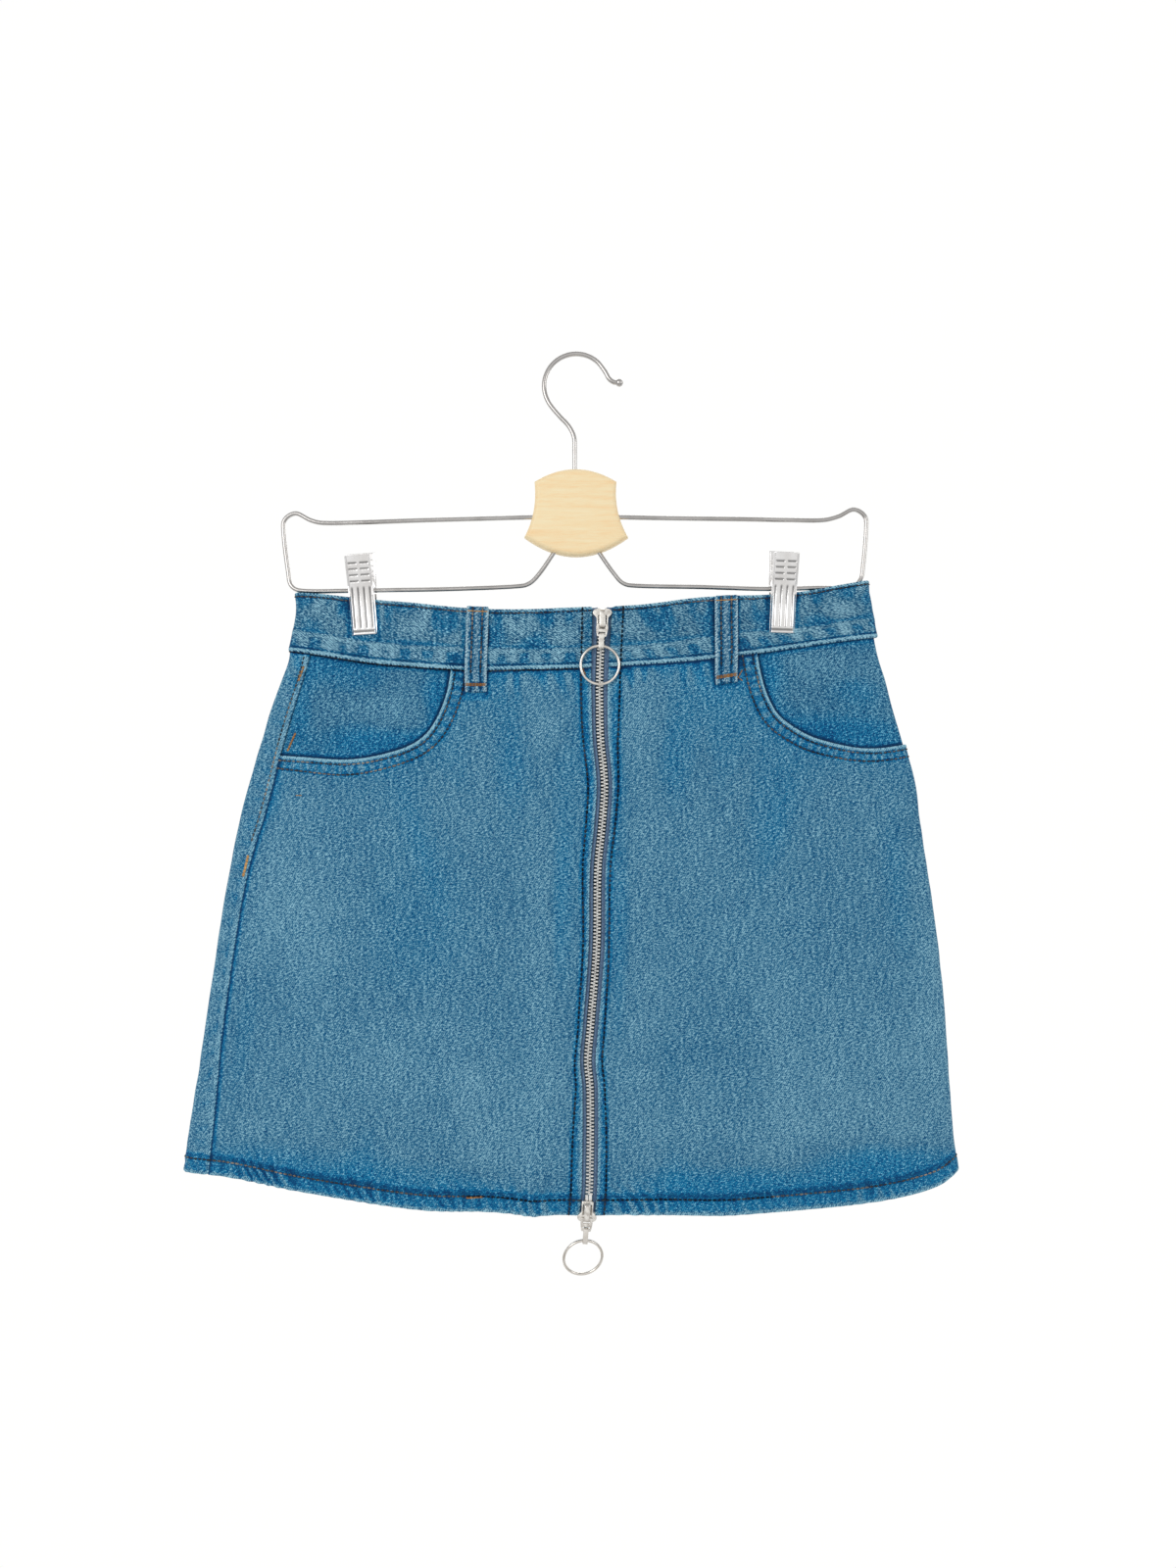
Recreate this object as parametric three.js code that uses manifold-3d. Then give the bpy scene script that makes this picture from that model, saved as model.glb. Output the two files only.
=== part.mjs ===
// Denim skirt with a two-way front zip, clipped flat to a wire hanger. Millimetres, +Z up.
// X runs to the viewer's right, Y away from the viewer, and the skirt's front faces -Y.
// The origin is the inside crest of the hanger's hook, where the whole thing hangs.
import * as THREE from "three";
import { mergeVertices } from "three/addons/utils/BufferGeometryUtils.js";
import Module from "manifold-3d";

const wasm = await Module();
wasm.setup();

// Cloth and its seams
const DENIM = 1.1; // one layer of denim
const WAISTBAND_WALL = 2.4; // folded band with its seam allowances
const HEM_WALL = 2.6; // turned-up hem
const HEM_HEIGHT = 9.3;
const SEAM_GAP = 0.3;
const RIGHT_WRAP = 14; // the front panel runs this far round the right fold

// Pocket facings, belt loops and zip tape
const FACING_WALL = 1.1;
const FACING_LEVELS = 5; // rows of the panel grid that a facing reaches down
const LOOP_WIDTH = 13.4;
const LOOP_WALL = 1.6;
const TAPE_WALL = 1.0;
const TAPE_HALF_WIDTH = 14;
const CHAIN_HALF_WIDTH = 2.7;
const CHAIN_HALF_DEPTH = 1.2;

// Zip sliders, pull tabs, links and rings
const SLIDER_HALF_LENGTH = 6.7;
const SLIDER_PLATE = 1.3;
const SLIDER_FRONT = 1.5; // from the cloth's middle to the front plate
const SLIDER_BACK = 2.35; // from the cloth's middle to the back plate
const BRIDGE_WIDTH = 3.5;
const BRIDGE_RISE = 2.9;
const TAB_THICKNESS = 1.2;
const TAB_STANDOFF = 0.95; // from the slider's face to the middle of the tab
const TAB_AXIS = -4.3; // the tab's bar, from the slider's middle
const LINK_AXIS = -11.45; // the bar at the tab's foot
const RING_AXIS = -18.1; // the ring's wire inside the link
const LINK_WIDTH = 3.8;
const LINK_BAND = 0.7;
const RING_WIRE = 1.9;
const RING_OUTER = 27;

// Hanger
const HOOK_WIRE = 3.2;
const HOOK_RADIUS = 21.3;
const HOOK_CENTRE_Z = -19.7;
const HOOK_BALL = 2.6;
const FRAME_WIRE = 3.0;
const BLOCK_THICKNESS = 11;
const WIRE_SEAT_GAP = 0.3;
const CLIP_WIDTH = 16.4;
const CLIP_SHEET = 1.0;
const CLIP_HOLE = 2.2; // radius of the hole in each ear

// The skirt's folded sides, as the middle of the cloth is seen from the front
const OUTLINE = [
  { z: -148, left: -184.9, right: 192.4 },
  { z: -158, left: -184.9, right: 193.2 },
  { z: -172, left: -184.5, right: 195.8 },
  { z: -193, left: -188.9, right: 199.4 },
  { z: -203, left: -190.4, right: 201.8 },
  { z: -214, left: -194.6, right: 205.4 },
  { z: -232, left: -201.0, right: 210.1 },
  { z: -258, left: -208.8, right: 217.6 },
  { z: -284, left: -216.6, right: 224.4 },
  { z: -310, left: -223.1, right: 227.9 },
  { z: -362, left: -232.9, right: 235.5 },
  { z: -414, left: -240.8, right: 241.9 },
  { z: -466, left: -248.5, right: 245.9 },
  { z: -518, left: -256.8, right: 249.8 },
  { z: -545, left: -260.0, right: 253.6 },
];

// Heights of the waist edge, the waistband seam and the hem, by share of the width from left to right
const EDGES = [
  { share: 0.0, waist: -157.9, seam: -195.2, hem: -539.0 },
  { share: 0.06, waist: -159.6, seam: -198.6, hem: -540.6 },
  { share: 0.15, waist: -162.9, seam: -203.7, hem: -548.4 },
  { share: 0.3, waist: -169.0, seam: -208.4, hem: -559.6 },
  { share: 0.4, waist: -169.8, seam: -208.0, hem: -561.8 },
  { share: 0.5, waist: -168.4, seam: -207.0, hem: -563.2 },
  { share: 0.6, waist: -166.9, seam: -204.8, hem: -563.0 },
  { share: 0.7, waist: -162.2, seam: -201.7, hem: -562.8 },
  { share: 0.8, waist: -159.8, seam: -196.7, hem: -560.2 },
  { share: 0.9, waist: -156.5, seam: -191.2, hem: -555.3 },
  { share: 0.97, waist: -151.9, seam: -187.6, hem: -547.5 },
  { share: 1.0, waist: -149.8, seam: -186.2, hem: -538.5 },
];

// How far front and back stand apart, and how blunt the side folds are
const FULLNESS = [
  { z: -148, half: 7.8, blunt: 0.6 },
  { z: -205, half: 8.5, blunt: 0.6 },
  { z: -260, half: 10.5, blunt: 0.65 },
  { z: -330, half: 12.5, blunt: 0.7 },
  { z: -430, half: 14.5, blunt: 0.75 },
  { z: -545, half: 16.0, blunt: 0.8 },
];

// The clips, where they hold the waistband and where their rail passes
const CLIPS = [
  { side: "left", x: -140.6, railX: -141.7, railZ: -155.4, lean: -3.9 },
  { side: "right", x: 136.4, railX: 137.0, railZ: -154.2, lean: 2.0 },
];
const PINCH_HALF = 0.9; // the cloth's middle at a clip
const PINCH_FLAT = 9.5;
const PINCH_REACH = 38;
const PINCH_EASE = 1.2; // how much wider the panels stay below the waistband
const PINCH_TOP_Z = -186.4;
const PINCH_END_Z = -270;

// Soft folds: a line down the cloth, its half width and how far it stands out (or in, below zero)
const FOLDS = [
  { side: "front", x0: -22, z0: -235, x1: -20, z1: -500, width: 15, rise: 2.2 },
  { side: "front", x0: 40, z0: -235, x1: 36, z1: -500, width: 15, rise: 2.0 },
  { side: "front", x0: -27, z0: -505, x1: -29, z1: -600, width: 10, rise: 3.6 },
  { side: "front", x0: -60, z0: -500, x1: -62, z1: -600, width: 20, rise: -2.2 },
  { side: "front", x0: 95, z0: -480, x1: 100, z1: -600, width: 24, rise: 2.2 },
  { side: "front", x0: -150, z0: -300, x1: -175, z1: -540, width: 26, rise: 2.2 },
  { side: "front", x0: -105, z0: -330, x1: -112, z1: -470, width: 24, rise: -2.0 },
  { side: "front", x0: 150, z0: -300, x1: 178, z1: -520, width: 26, rise: 1.8 },
  { side: "back", x0: -70, z0: -260, x1: -82, z1: -600, width: 24, rise: 2.4 },
  { side: "back", x0: 20, z0: -280, x1: 22, z1: -520, width: 22, rise: -2.0 },
  { side: "back", x0: 105, z0: -270, x1: 128, z1: -600, width: 26, rise: 2.6 },
];

// The zip's centre line as it wanders down the front
const ZIP_LINE = [
  { z: -168, x: 17.2 },
  { z: -223, x: 15.3 },
  { z: -253, x: 15.9 },
  { z: -284, x: 18.6 },
  { z: -309, x: 17.1 },
  { z: -339, x: 14.2 },
  { z: -390, x: 13.4 },
  { z: -443, x: 9.3 },
  { z: -464, x: 7.6 },
  { z: -482, x: 9.2 },
  { z: -544, x: 8.8 },
  { z: -566, x: 7.0 },
];
// Half the gap between the two folded cloth edges at the zip
const ZIP_GAP = [
  { z: -168, half: 7.2 },
  { z: -208, half: 6.2 },
  { z: -225, half: 5.7 },
  { z: -566, half: 5.5 },
];

// The left side seam lies on the front, just inside the fold
const LEFT_SEAM = [
  { z: -197, x: -175.4 },
  { z: -212, x: -179.7 },
  { z: -249, x: -190.9 },
  { z: -302, x: -204.6 },
  { z: -337, x: -215.0 },
  { z: -374, x: -222.3 },
  { z: -449, x: -233.1 },
  { z: -492, x: -237.1 },
  { z: -545, x: -242.4 },
];

// Scooped pocket edges, from the waistband seam out to the side
const LEFT_POCKET = [
  { x: -80.5, z: -200 },
  { x: -81.6, z: -207.5 },
  { x: -85.0, z: -225.6 },
  { x: -91.3, z: -241.5 },
  { x: -99.0, z: -252.2 },
  { x: -110.5, z: -259.7 },
  { x: -129.8, z: -265.5 },
  { x: -151.0, z: -268.2 },
  { x: -177.7, z: -266.6 },
  { x: -205.0, z: -264.8 },
];
const RIGHT_POCKET = [
  { x: 118.0, z: -190 },
  { x: 119.0, z: -198.0 },
  { x: 121.3, z: -210.6 },
  { x: 124.8, z: -223.2 },
  { x: 131.2, z: -236.6 },
  { x: 139.6, z: -244.6 },
  { x: 151.8, z: -252.0 },
  { x: 164.5, z: -256.3 },
  { x: 183.5, z: -260.2 },
  { x: 201.6, z: -260.4 },
  { x: 235.0, z: -255.0 },
];

// Belt loops: the middle of the top and of the foot
const BELT_LOOPS = [
  { name: "belt_loop_left", side: "front", topX: -64.2, footX: -65.7, topZ: -168, footZ: -223 },
  { name: "belt_loop_right", side: "front", topX: 98.0, footX: 98.2, topZ: -160.6, footZ: -217.4 },
  { name: "belt_loop_back", side: "back", topX: 3.0, footX: 3.0, topZ: -167.4, footZ: -223 },
];

// Sliders: the middle of the body, its lean, and the lean and turn of what hangs from it
const SLIDERS = [
  { end: "top", x: 17.2, z: -175.3, lean: 0, hang: 3.6, upsideDown: false, yaw: 0, back: 0 },
  { end: "bottom", x: 7.3, z: -560.7, lean: 3.4, hang: 4.4, upsideDown: true, yaw: 10, back: 14 },
];

// Centre lines of the hanger's wires, in the plane of the rails
const FRAME_WIRES = {
  left: [
    [-17, -106.4], [-30, -106.8], [-66, -107.8], [-102, -108.8], [-140, -110.1], [-167, -110.6],
    [-176, -108.8], [-186, -104.2], [-193.4, -108.6], [-194, -118], [-191, -143], [-189, -152],
    [-182, -155.5], [-153, -155.6], [-117, -155], [-81, -154.3], [-40, -152.6], [-31, -150.6],
    [-24, -143.6], [-15, -130.6], [-11, -124.6],
  ],
  right: [
    [17, -106.4], [30, -106.8], [66, -107.5], [107, -108], [140, -108.6], [163, -108.7],
    [174, -106.2], [184, -101.6], [191.4, -106.2], [192.2, -115], [190.2, -139], [188.4, -148],
    [182, -152.9], [157, -153.7], [127, -154.3], [100, -153.6], [81, -153], [40, -152.2],
    [31, -150.4], [24.6, -143.6], [15.4, -130.6], [11.4, -124.6],
  ],
};

const FINISH = {
  denim: { color: 0x487c9b, roughness: 0.95, metalness: 0 },
  facing: { color: 0x3f769c, roughness: 0.95, metalness: 0 },
  tape: { color: 0x6f8cab, roughness: 0.9, metalness: 0 },
  zipMetal: { color: 0xb9a791, roughness: 0.35, metalness: 1 },
  ringMetal: { color: 0xe9dccb, roughness: 0.25, metalness: 1 },
  steel: { color: 0xc9cccf, roughness: 0.22, metalness: 1 },
  wood: { color: 0xfee3b7, roughness: 0.6, metalness: 0 },
};

const group = new THREE.Group();

function addMesh(name, geometry, finish, parent = group) {
  const mesh = new THREE.Mesh(geometry, new THREE.MeshStandardMaterial(FINISH[finish]));
  mesh.name = name;
  parent.add(mesh);
  return mesh;
}

const radians = THREE.MathUtils.degToRad;
const mix = THREE.MathUtils.lerp;

// 0 at from, 1 at to, with soft ends; from may be the larger number
function ease(value, from, to) {
  const s = THREE.MathUtils.clamp((value - from) / (to - from), 0, 1);
  return s * s * (3 - 2 * s);
}

// Reads a table's column at a place along its key, as a smooth curve through the rows
function read(rows, key, column, at) {
  const rising = rows[1][key] > rows[0][key];
  const list = rising ? rows : [...rows].reverse();
  const last = list.length - 1;
  const place = THREE.MathUtils.clamp(at, list[0][key], list[last][key]);
  const i = Math.min(list.findIndex((row, k) => k === last || place <= list[k + 1][key]), last - 1);
  const slope = (k) => {
    const a = list[Math.max(k - 1, 0)];
    const b = list[Math.min(k + 1, last)];
    return (b[column] - a[column]) / (b[key] - a[key]);
  };
  const span = list[i + 1][key] - list[i][key];
  const s = (place - list[i][key]) / span;
  return (
    (1 + 2 * s) * (1 - s) ** 2 * list[i][column] +
    s * (1 - s) ** 2 * span * slope(i) +
    s * s * (3 - 2 * s) * list[i + 1][column] +
    s * s * (s - 1) * span * slope(i + 1)
  );
}

// The skirt's surface. Angle 0 is the right fold, half pi the front, pi the left fold, 3/2 pi the back.
// Level -1 is the waist edge, 0 the waistband seam and 1 the hem.
function heightAt(share, level) {
  const seam = read(EDGES, "share", "seam", share);
  const edge = read(EDGES, "share", level < 0 ? "waist" : "hem", share);
  return mix(seam, edge, Math.abs(level));
}

function sidesAt(level) {
  const left = read(OUTLINE, "z", "left", heightAt(0, level));
  const right = read(OUTLINE, "z", "right", heightAt(1, level));
  return { middle: (left + right) / 2, half: (right - left) / 2 };
}

function foldRise(side, x, z) {
  let rise = 0;
  for (const fold of FOLDS) {
    if (fold.side !== side) continue;
    const s = THREE.MathUtils.clamp((z - fold.z0) / (fold.z1 - fold.z0), 0, 1);
    const away = (x - mix(fold.x0, fold.x1, s)) / fold.width;
    const ends = ease(z, fold.z0 + 20, fold.z0 - 50) * ease(z, fold.z1 - 30, fold.z1 + 40);
    rise += fold.rise * ends * Math.exp(-away * away);
  }
  return rise;
}

function pinchAt(x, z) {
  const across = CLIPS.map((clip) => 1 - ease(Math.abs(x - clip.x), PINCH_FLAT, PINCH_REACH));
  return Math.max(...across) * (1 - ease(z, PINCH_TOP_Z, PINCH_END_Z));
}

function surfacePoint(angle, level) {
  const { middle, half } = sidesAt(level);
  const share = (1 + Math.cos(angle)) / 2;
  const x = middle + half * Math.cos(angle);
  const z = heightAt(share, level);
  const sine = Math.sin(angle);
  const blunt = read(FULLNESS, "z", "blunt", z);
  const full = read(FULLNESS, "z", "half", z) * (sine * sine + 0.004) ** ((blunt - 1) / 2);
  const pinch = pinchAt(x, z);
  const openness = Math.abs(sine) * full;
  const held = Math.min(PINCH_HALF + PINCH_EASE * ease(z, PINCH_TOP_Z, PINCH_TOP_Z - 10), openness);
  const side = sine > 0 ? "front" : "back";
  const swell = foldRise(side, x, z) * Math.min(1, 2 * Math.abs(sine)) * (1 - pinch);
  const y = mix(openness, held, pinch) + swell;
  return new THREE.Vector3(x, sine > 0 ? -y : y, z);
}

// A point moved off the surface, outwards for a distance above zero
function offsetPoint(angle, level, distance) {
  const stepAngle = 0.012;
  const stepLevel = 0.004;
  const across = surfacePoint(angle + stepAngle, level).sub(surfacePoint(angle - stepAngle, level));
  const low = level < 0 ? Math.min(level + stepLevel, 0) : level + stepLevel;
  const high = level < 0 ? level - stepLevel : Math.max(level - stepLevel, 0);
  const down = surfacePoint(angle, low).sub(surfacePoint(angle, high));
  if (level < 0) down.multiplyScalar(Math.sign(down.z) * -1);
  const normal = across.cross(down).normalize();
  return surfacePoint(angle, level).addScaledVector(normal, distance);
}

// The angle on the front of the skirt at a place across it
function frontAngle(x, level) {
  const { middle, half } = sidesAt(level);
  return Math.acos(THREE.MathUtils.clamp((x - middle) / half, -1, 1));
}

// The level at which the front reaches a height
function levelAt(x, z) {
  const { middle, half } = sidesAt(0);
  const share = THREE.MathUtils.clamp((x - middle) / half / 2 + 0.5, 0, 1);
  const seam = heightAt(share, 0);
  return z > seam ? (seam - z) / (heightAt(share, -1) - seam) : (seam - z) / (seam - heightAt(share, 1));
}

// A closed wall over a patch of the surface. reach(level) gives its first and last angle,
// and skin(angle, level) its inner and outer distance from the surface.
function wall(levels, columns, reach, skin) {
  const positions = [];
  for (const face of [1, 0]) {
    for (const level of levels) {
      const [first, last] = reach(level);
      for (let c = 0; c <= columns; c++) {
        const angle = mix(first, last, c / columns);
        positions.push(...offsetPoint(angle, level, skin(angle, level)[face]).toArray());
      }
    }
  }
  const width = columns + 1;
  const half = levels.length * width;
  const at = (face, row, column) => face * half + row * width + column;
  const index = [];
  const quad = (a, b, c, d) => index.push(a, b, c, a, c, d);
  for (let r = 0; r < levels.length - 1; r++) {
    for (let c = 0; c < columns; c++) {
      quad(at(0, r, c), at(0, r, c + 1), at(0, r + 1, c + 1), at(0, r + 1, c));
      quad(at(1, r, c), at(1, r + 1, c), at(1, r + 1, c + 1), at(1, r, c + 1));
    }
    quad(at(0, r, 0), at(0, r + 1, 0), at(1, r + 1, 0), at(1, r, 0));
    quad(at(0, r + 1, columns), at(0, r, columns), at(1, r, columns), at(1, r + 1, columns));
  }
  const end = levels.length - 1;
  for (let c = 0; c < columns; c++) {
    quad(at(0, 0, c + 1), at(0, 0, c), at(1, 0, c), at(1, 0, c + 1));
    quad(at(0, end, c), at(0, end, c + 1), at(1, end, c + 1), at(1, end, c));
  }
  const geometry = new THREE.BufferGeometry();
  geometry.setAttribute("position", new THREE.Float32BufferAttribute(positions, 3));
  geometry.setIndex(index);
  return toGeometry(facingOut(toSolid(geometry)));
}

// Solids for joining and cutting
function toSolid(geometry) {
  const bare = geometry.clone();
  bare.deleteAttribute("normal");
  bare.deleteAttribute("uv");
  const merged = mergeVertices(bare, 1e-4);
  const mesh = new wasm.Mesh({
    numProp: 3,
    vertProperties: new Float32Array(merged.attributes.position.array),
    triVerts: new Uint32Array(merged.index.array),
  });
  return new wasm.Manifold(mesh);
}

function facingOut(solid) {
  if (solid.volume() > 0) return solid;
  const mesh = solid.getMesh();
  mesh.triVerts.reverse();
  return new wasm.Manifold(mesh);
}

function toGeometry(solid) {
  const mesh = solid.getMesh();
  const geometry = new THREE.BufferGeometry();
  geometry.setAttribute("position", new THREE.BufferAttribute(new Float32Array(mesh.vertProperties), 3));
  geometry.setIndex(new THREE.BufferAttribute(new Uint32Array(mesh.triVerts), 1));
  geometry.computeVertexNormals();
  return geometry;
}

// A flat outline in X and Z, made thick along Y from y0 to y1
function slab(shape, y0, y1, curveSegments = 8) {
  const geometry = new THREE.ExtrudeGeometry(shape, {
    depth: y1 - y0,
    bevelEnabled: false,
    curveSegments,
  });
  geometry.rotateX(Math.PI / 2);
  geometry.translate(0, y1, 0);
  return geometry;
}

// An outline given as Y and Z pairs, made thick along X from x0 to x1
function sideSlab(shape, x0, x1, curveSegments = 8) {
  const geometry = new THREE.ExtrudeGeometry(shape, {
    depth: x1 - x0,
    bevelEnabled: false,
    curveSegments,
  });
  geometry.applyMatrix4(new THREE.Matrix4().set(0, 0, 1, x0, 1, 0, 0, 0, 0, 1, 0, 0, 0, 0, 0, 1));
  return geometry;
}

function outlineShape(points) {
  return new THREE.Shape(points.map(([u, v]) => new THREE.Vector2(u, v)));
}

function roundedRectangle(halfU, v0, v1, radius, Kind = THREE.Shape) {
  const path = new Kind();
  path.moveTo(-halfU + radius, v0);
  path.lineTo(halfU - radius, v0);
  path.absarc(halfU - radius, v0 + radius, radius, -Math.PI / 2, 0);
  path.lineTo(halfU, v1 - radius);
  path.absarc(halfU - radius, v1 - radius, radius, 0, Math.PI / 2);
  path.lineTo(-halfU + radius, v1);
  path.absarc(-halfU + radius, v1 - radius, radius, Math.PI / 2, Math.PI);
  path.lineTo(-halfU, v0 + radius);
  path.absarc(-halfU + radius, v0 + radius, radius, Math.PI, Math.PI * 1.5);
  return path;
}

function wireAlong(points, diameter, steps, sides = 8) {
  const curve = new THREE.CatmullRomCurve3(
    points.map(([x, z]) => new THREE.Vector3(x, 0, z)),
    false,
    "centripetal",
  );
  const section = new THREE.Shape();
  for (let i = 0; i < sides; i++) {
    const turn = (2 * Math.PI * (i + 0.5)) / sides;
    const point = [(Math.cos(turn) * diameter) / 2, (Math.sin(turn) * diameter) / 2];
    if (i) section.lineTo(...point);
    else section.moveTo(...point);
  }
  return new THREE.ExtrudeGeometry(section, { steps, extrudePath: curve, bevelEnabled: false });
}

// Skirt panels
function evenLevels(first, last, count) {
  return Array.from({ length: count + 1 }, (_, i) => mix(first, last, i / count));
}

const SKIRT_LENGTH = 355;
const PANEL_TOP = SEAM_GAP / 2 / SKIRT_LENGTH;
const HEM_LEVEL = 1 - HEM_HEIGHT / SKIRT_LENGTH;
const PANEL_LEVELS = [...evenLevels(PANEL_TOP, HEM_LEVEL - 0.004, 15), HEM_LEVEL, 1];
const LEFT_COLUMNS = 22;
const RIGHT_COLUMNS = 27;

const zipX = (level) => read(ZIP_LINE, "z", "x", heightAt(0.53, level));
const zipGap = (level) => read(ZIP_GAP, "z", "half", heightAt(0.53, level));
const leftSeamX = (level) => read(LEFT_SEAM, "z", "x", heightAt(0.03, level));

function rightSeamAngle(level, inset) {
  const { half } = sidesAt(level);
  return -Math.acos(1 - (RIGHT_WRAP - inset) / half);
}

// The turned-up hem thickens the wall inwards, but stops beside the zip tape
function panelSkin(angle, level) {
  const nearZip = Math.sin(angle) > 0 ? Math.abs(surfacePoint(angle, level).x - zipX(level)) : 200;
  const turned = ease(level, HEM_LEVEL - 0.003, HEM_LEVEL) * ease(nearZip, 27, 34);
  return [-DENIM / 2 - (HEM_WALL - DENIM) * turned, DENIM / 2];
}

// What is cut away above a pocket edge, reaching past the side and the waistband seam
function scoop(points, sideX, y0, y1) {
  const corners = points.map(({ x, z }) => [x, z]);
  const top = -150;
  const around = [[sideX, points.at(-1).z], [sideX, top], [points[0].x, top]];
  return toSolid(slab(outlineShape([...corners, ...around]), y0, y1));
}

function leftReach(level) {
  return [
    frontAngle(zipX(level) - zipGap(level), level),
    frontAngle(leftSeamX(level) + SEAM_GAP / 2, level),
  ];
}

function rightReach(level) {
  return [
    rightSeamAngle(level, SEAM_GAP / 2),
    frontAngle(zipX(level) + zipGap(level), level),
  ];
}

function frontLeft() {
  const panel = toSolid(wall(PANEL_LEVELS, LEFT_COLUMNS, leftReach, panelSkin));
  return toGeometry(panel.subtract(facingOut(scoop(LEFT_POCKET, -240, -60, 0))));
}

function frontRight() {
  const panel = toSolid(wall(PANEL_LEVELS, RIGHT_COLUMNS, rightReach, panelSkin));
  return toGeometry(panel.subtract(facingOut(scoop(RIGHT_POCKET, 260, -60, 60))));
}

function backPanel() {
  const reach = (level) => [
    frontAngle(leftSeamX(level) - SEAM_GAP / 2, level),
    2 * Math.PI + rightSeamAngle(level, -SEAM_GAP / 2),
  ];
  return wall(PANEL_LEVELS, 40, reach, panelSkin);
}

function waistband() {
  const reach = (level) => [
    frontAngle(zipX(level) - zipGap(level), level),
    2 * Math.PI + frontAngle(zipX(level) + zipGap(level), level),
  ];
  const inner = -0.75;
  const bottom = (-SEAM_GAP / 2) / 38;
  return wall(evenLevels(-1, bottom, 4), 84, reach, () => [inner, inner + WAISTBAND_WALL]);
}

// The facings lie just inside the front panels, on the same grid, and fill the pocket scoops
function facing(side) {
  const outer = -DENIM / 2 - SEAM_GAP;
  const skin = () => [outer - FACING_WALL, outer];
  const levels = PANEL_LEVELS.slice(0, FACING_LEVELS + 1);
  const left = side === "left";
  const panelColumns = left ? LEFT_COLUMNS : RIGHT_COLUMNS;
  const hidden = left ? 7 : 6; // columns of the panel that the facing leaves bare, beside the zip
  const reach = (level) => {
    const [first, last] = left ? leftReach(level) : rightReach(level);
    const bare = hidden / panelColumns;
    return left ? [mix(first, last, bare), last] : [first, mix(last, first, bare)];
  };
  return wall(levels, panelColumns - hidden, reach, skin);
}

// A strip standing off the waistband, tacked down at its top and below the seam
function beltLoop({ side, topX, footX, topZ, footZ }) {
  const levels = evenLevels(levelAt(topX, topZ), levelAt(footX, footZ), 9);
  const last = levels.length - 1;
  const above = WAISTBAND_WALL - 0.75 + SEAM_GAP;
  const below = DENIM / 2 + SEAM_GAP;
  const skin = (angle, level) => {
    const foot = mix(above, below, ease(level, 0.004, 0.03));
    return [foot, foot + LOOP_WALL];
  };
  const reach = (level) => {
    const share = (level - levels[0]) / (levels[last] - levels[0]);
    const x = mix(topX, footX, share);
    const first = frontAngle(x + LOOP_WIDTH / 2, level);
    const second = frontAngle(x - LOOP_WIDTH / 2, level);
    return side === "front" ? [first, second] : [2 * Math.PI - second, 2 * Math.PI - first];
  };
  return wall(levels, 2, reach, skin);
}

// A strip that follows the zip, from one distance beside its centre line to another
function zipStrip(from, to, first, last, inner, outer, columns) {
  const reach = (level) => [frontAngle(zipX(level) + to, level), frontAngle(zipX(level) + from, level)];
  const levels = [...evenLevels(first, -0.02, 3), ...evenLevels(0.02, last, 20)];
  return wall(levels, columns, reach, () => [inner, outer]);
}

function zip() {
  const tapeInner = CHAIN_HALF_WIDTH + SEAM_GAP;
  const tapeFront = -1.05;
  const top = -1;
  const bottom = 0.996;
  const tapeBack = tapeFront - TAPE_WALL;
  const leftTape = zipStrip(-TAPE_HALF_WIDTH, -tapeInner, top, bottom, tapeBack, tapeFront, 1);
  const rightTape = zipStrip(tapeInner, TAPE_HALF_WIDTH, top, bottom, tapeBack, tapeFront, 1);
  addMesh("zip_tape_left", leftTape, "tape");
  addMesh("zip_tape_right", rightTape, "tape");
  const chainTop = -0.88;
  const chainBottom = 0.994;
  const depth = CHAIN_HALF_DEPTH;
  const chain = zipStrip(-CHAIN_HALF_WIDTH, CHAIN_HALF_WIDTH, chainTop, chainBottom, -depth, depth, 1);
  addMesh("zip_chain", chain, "zipMetal");
}

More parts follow.
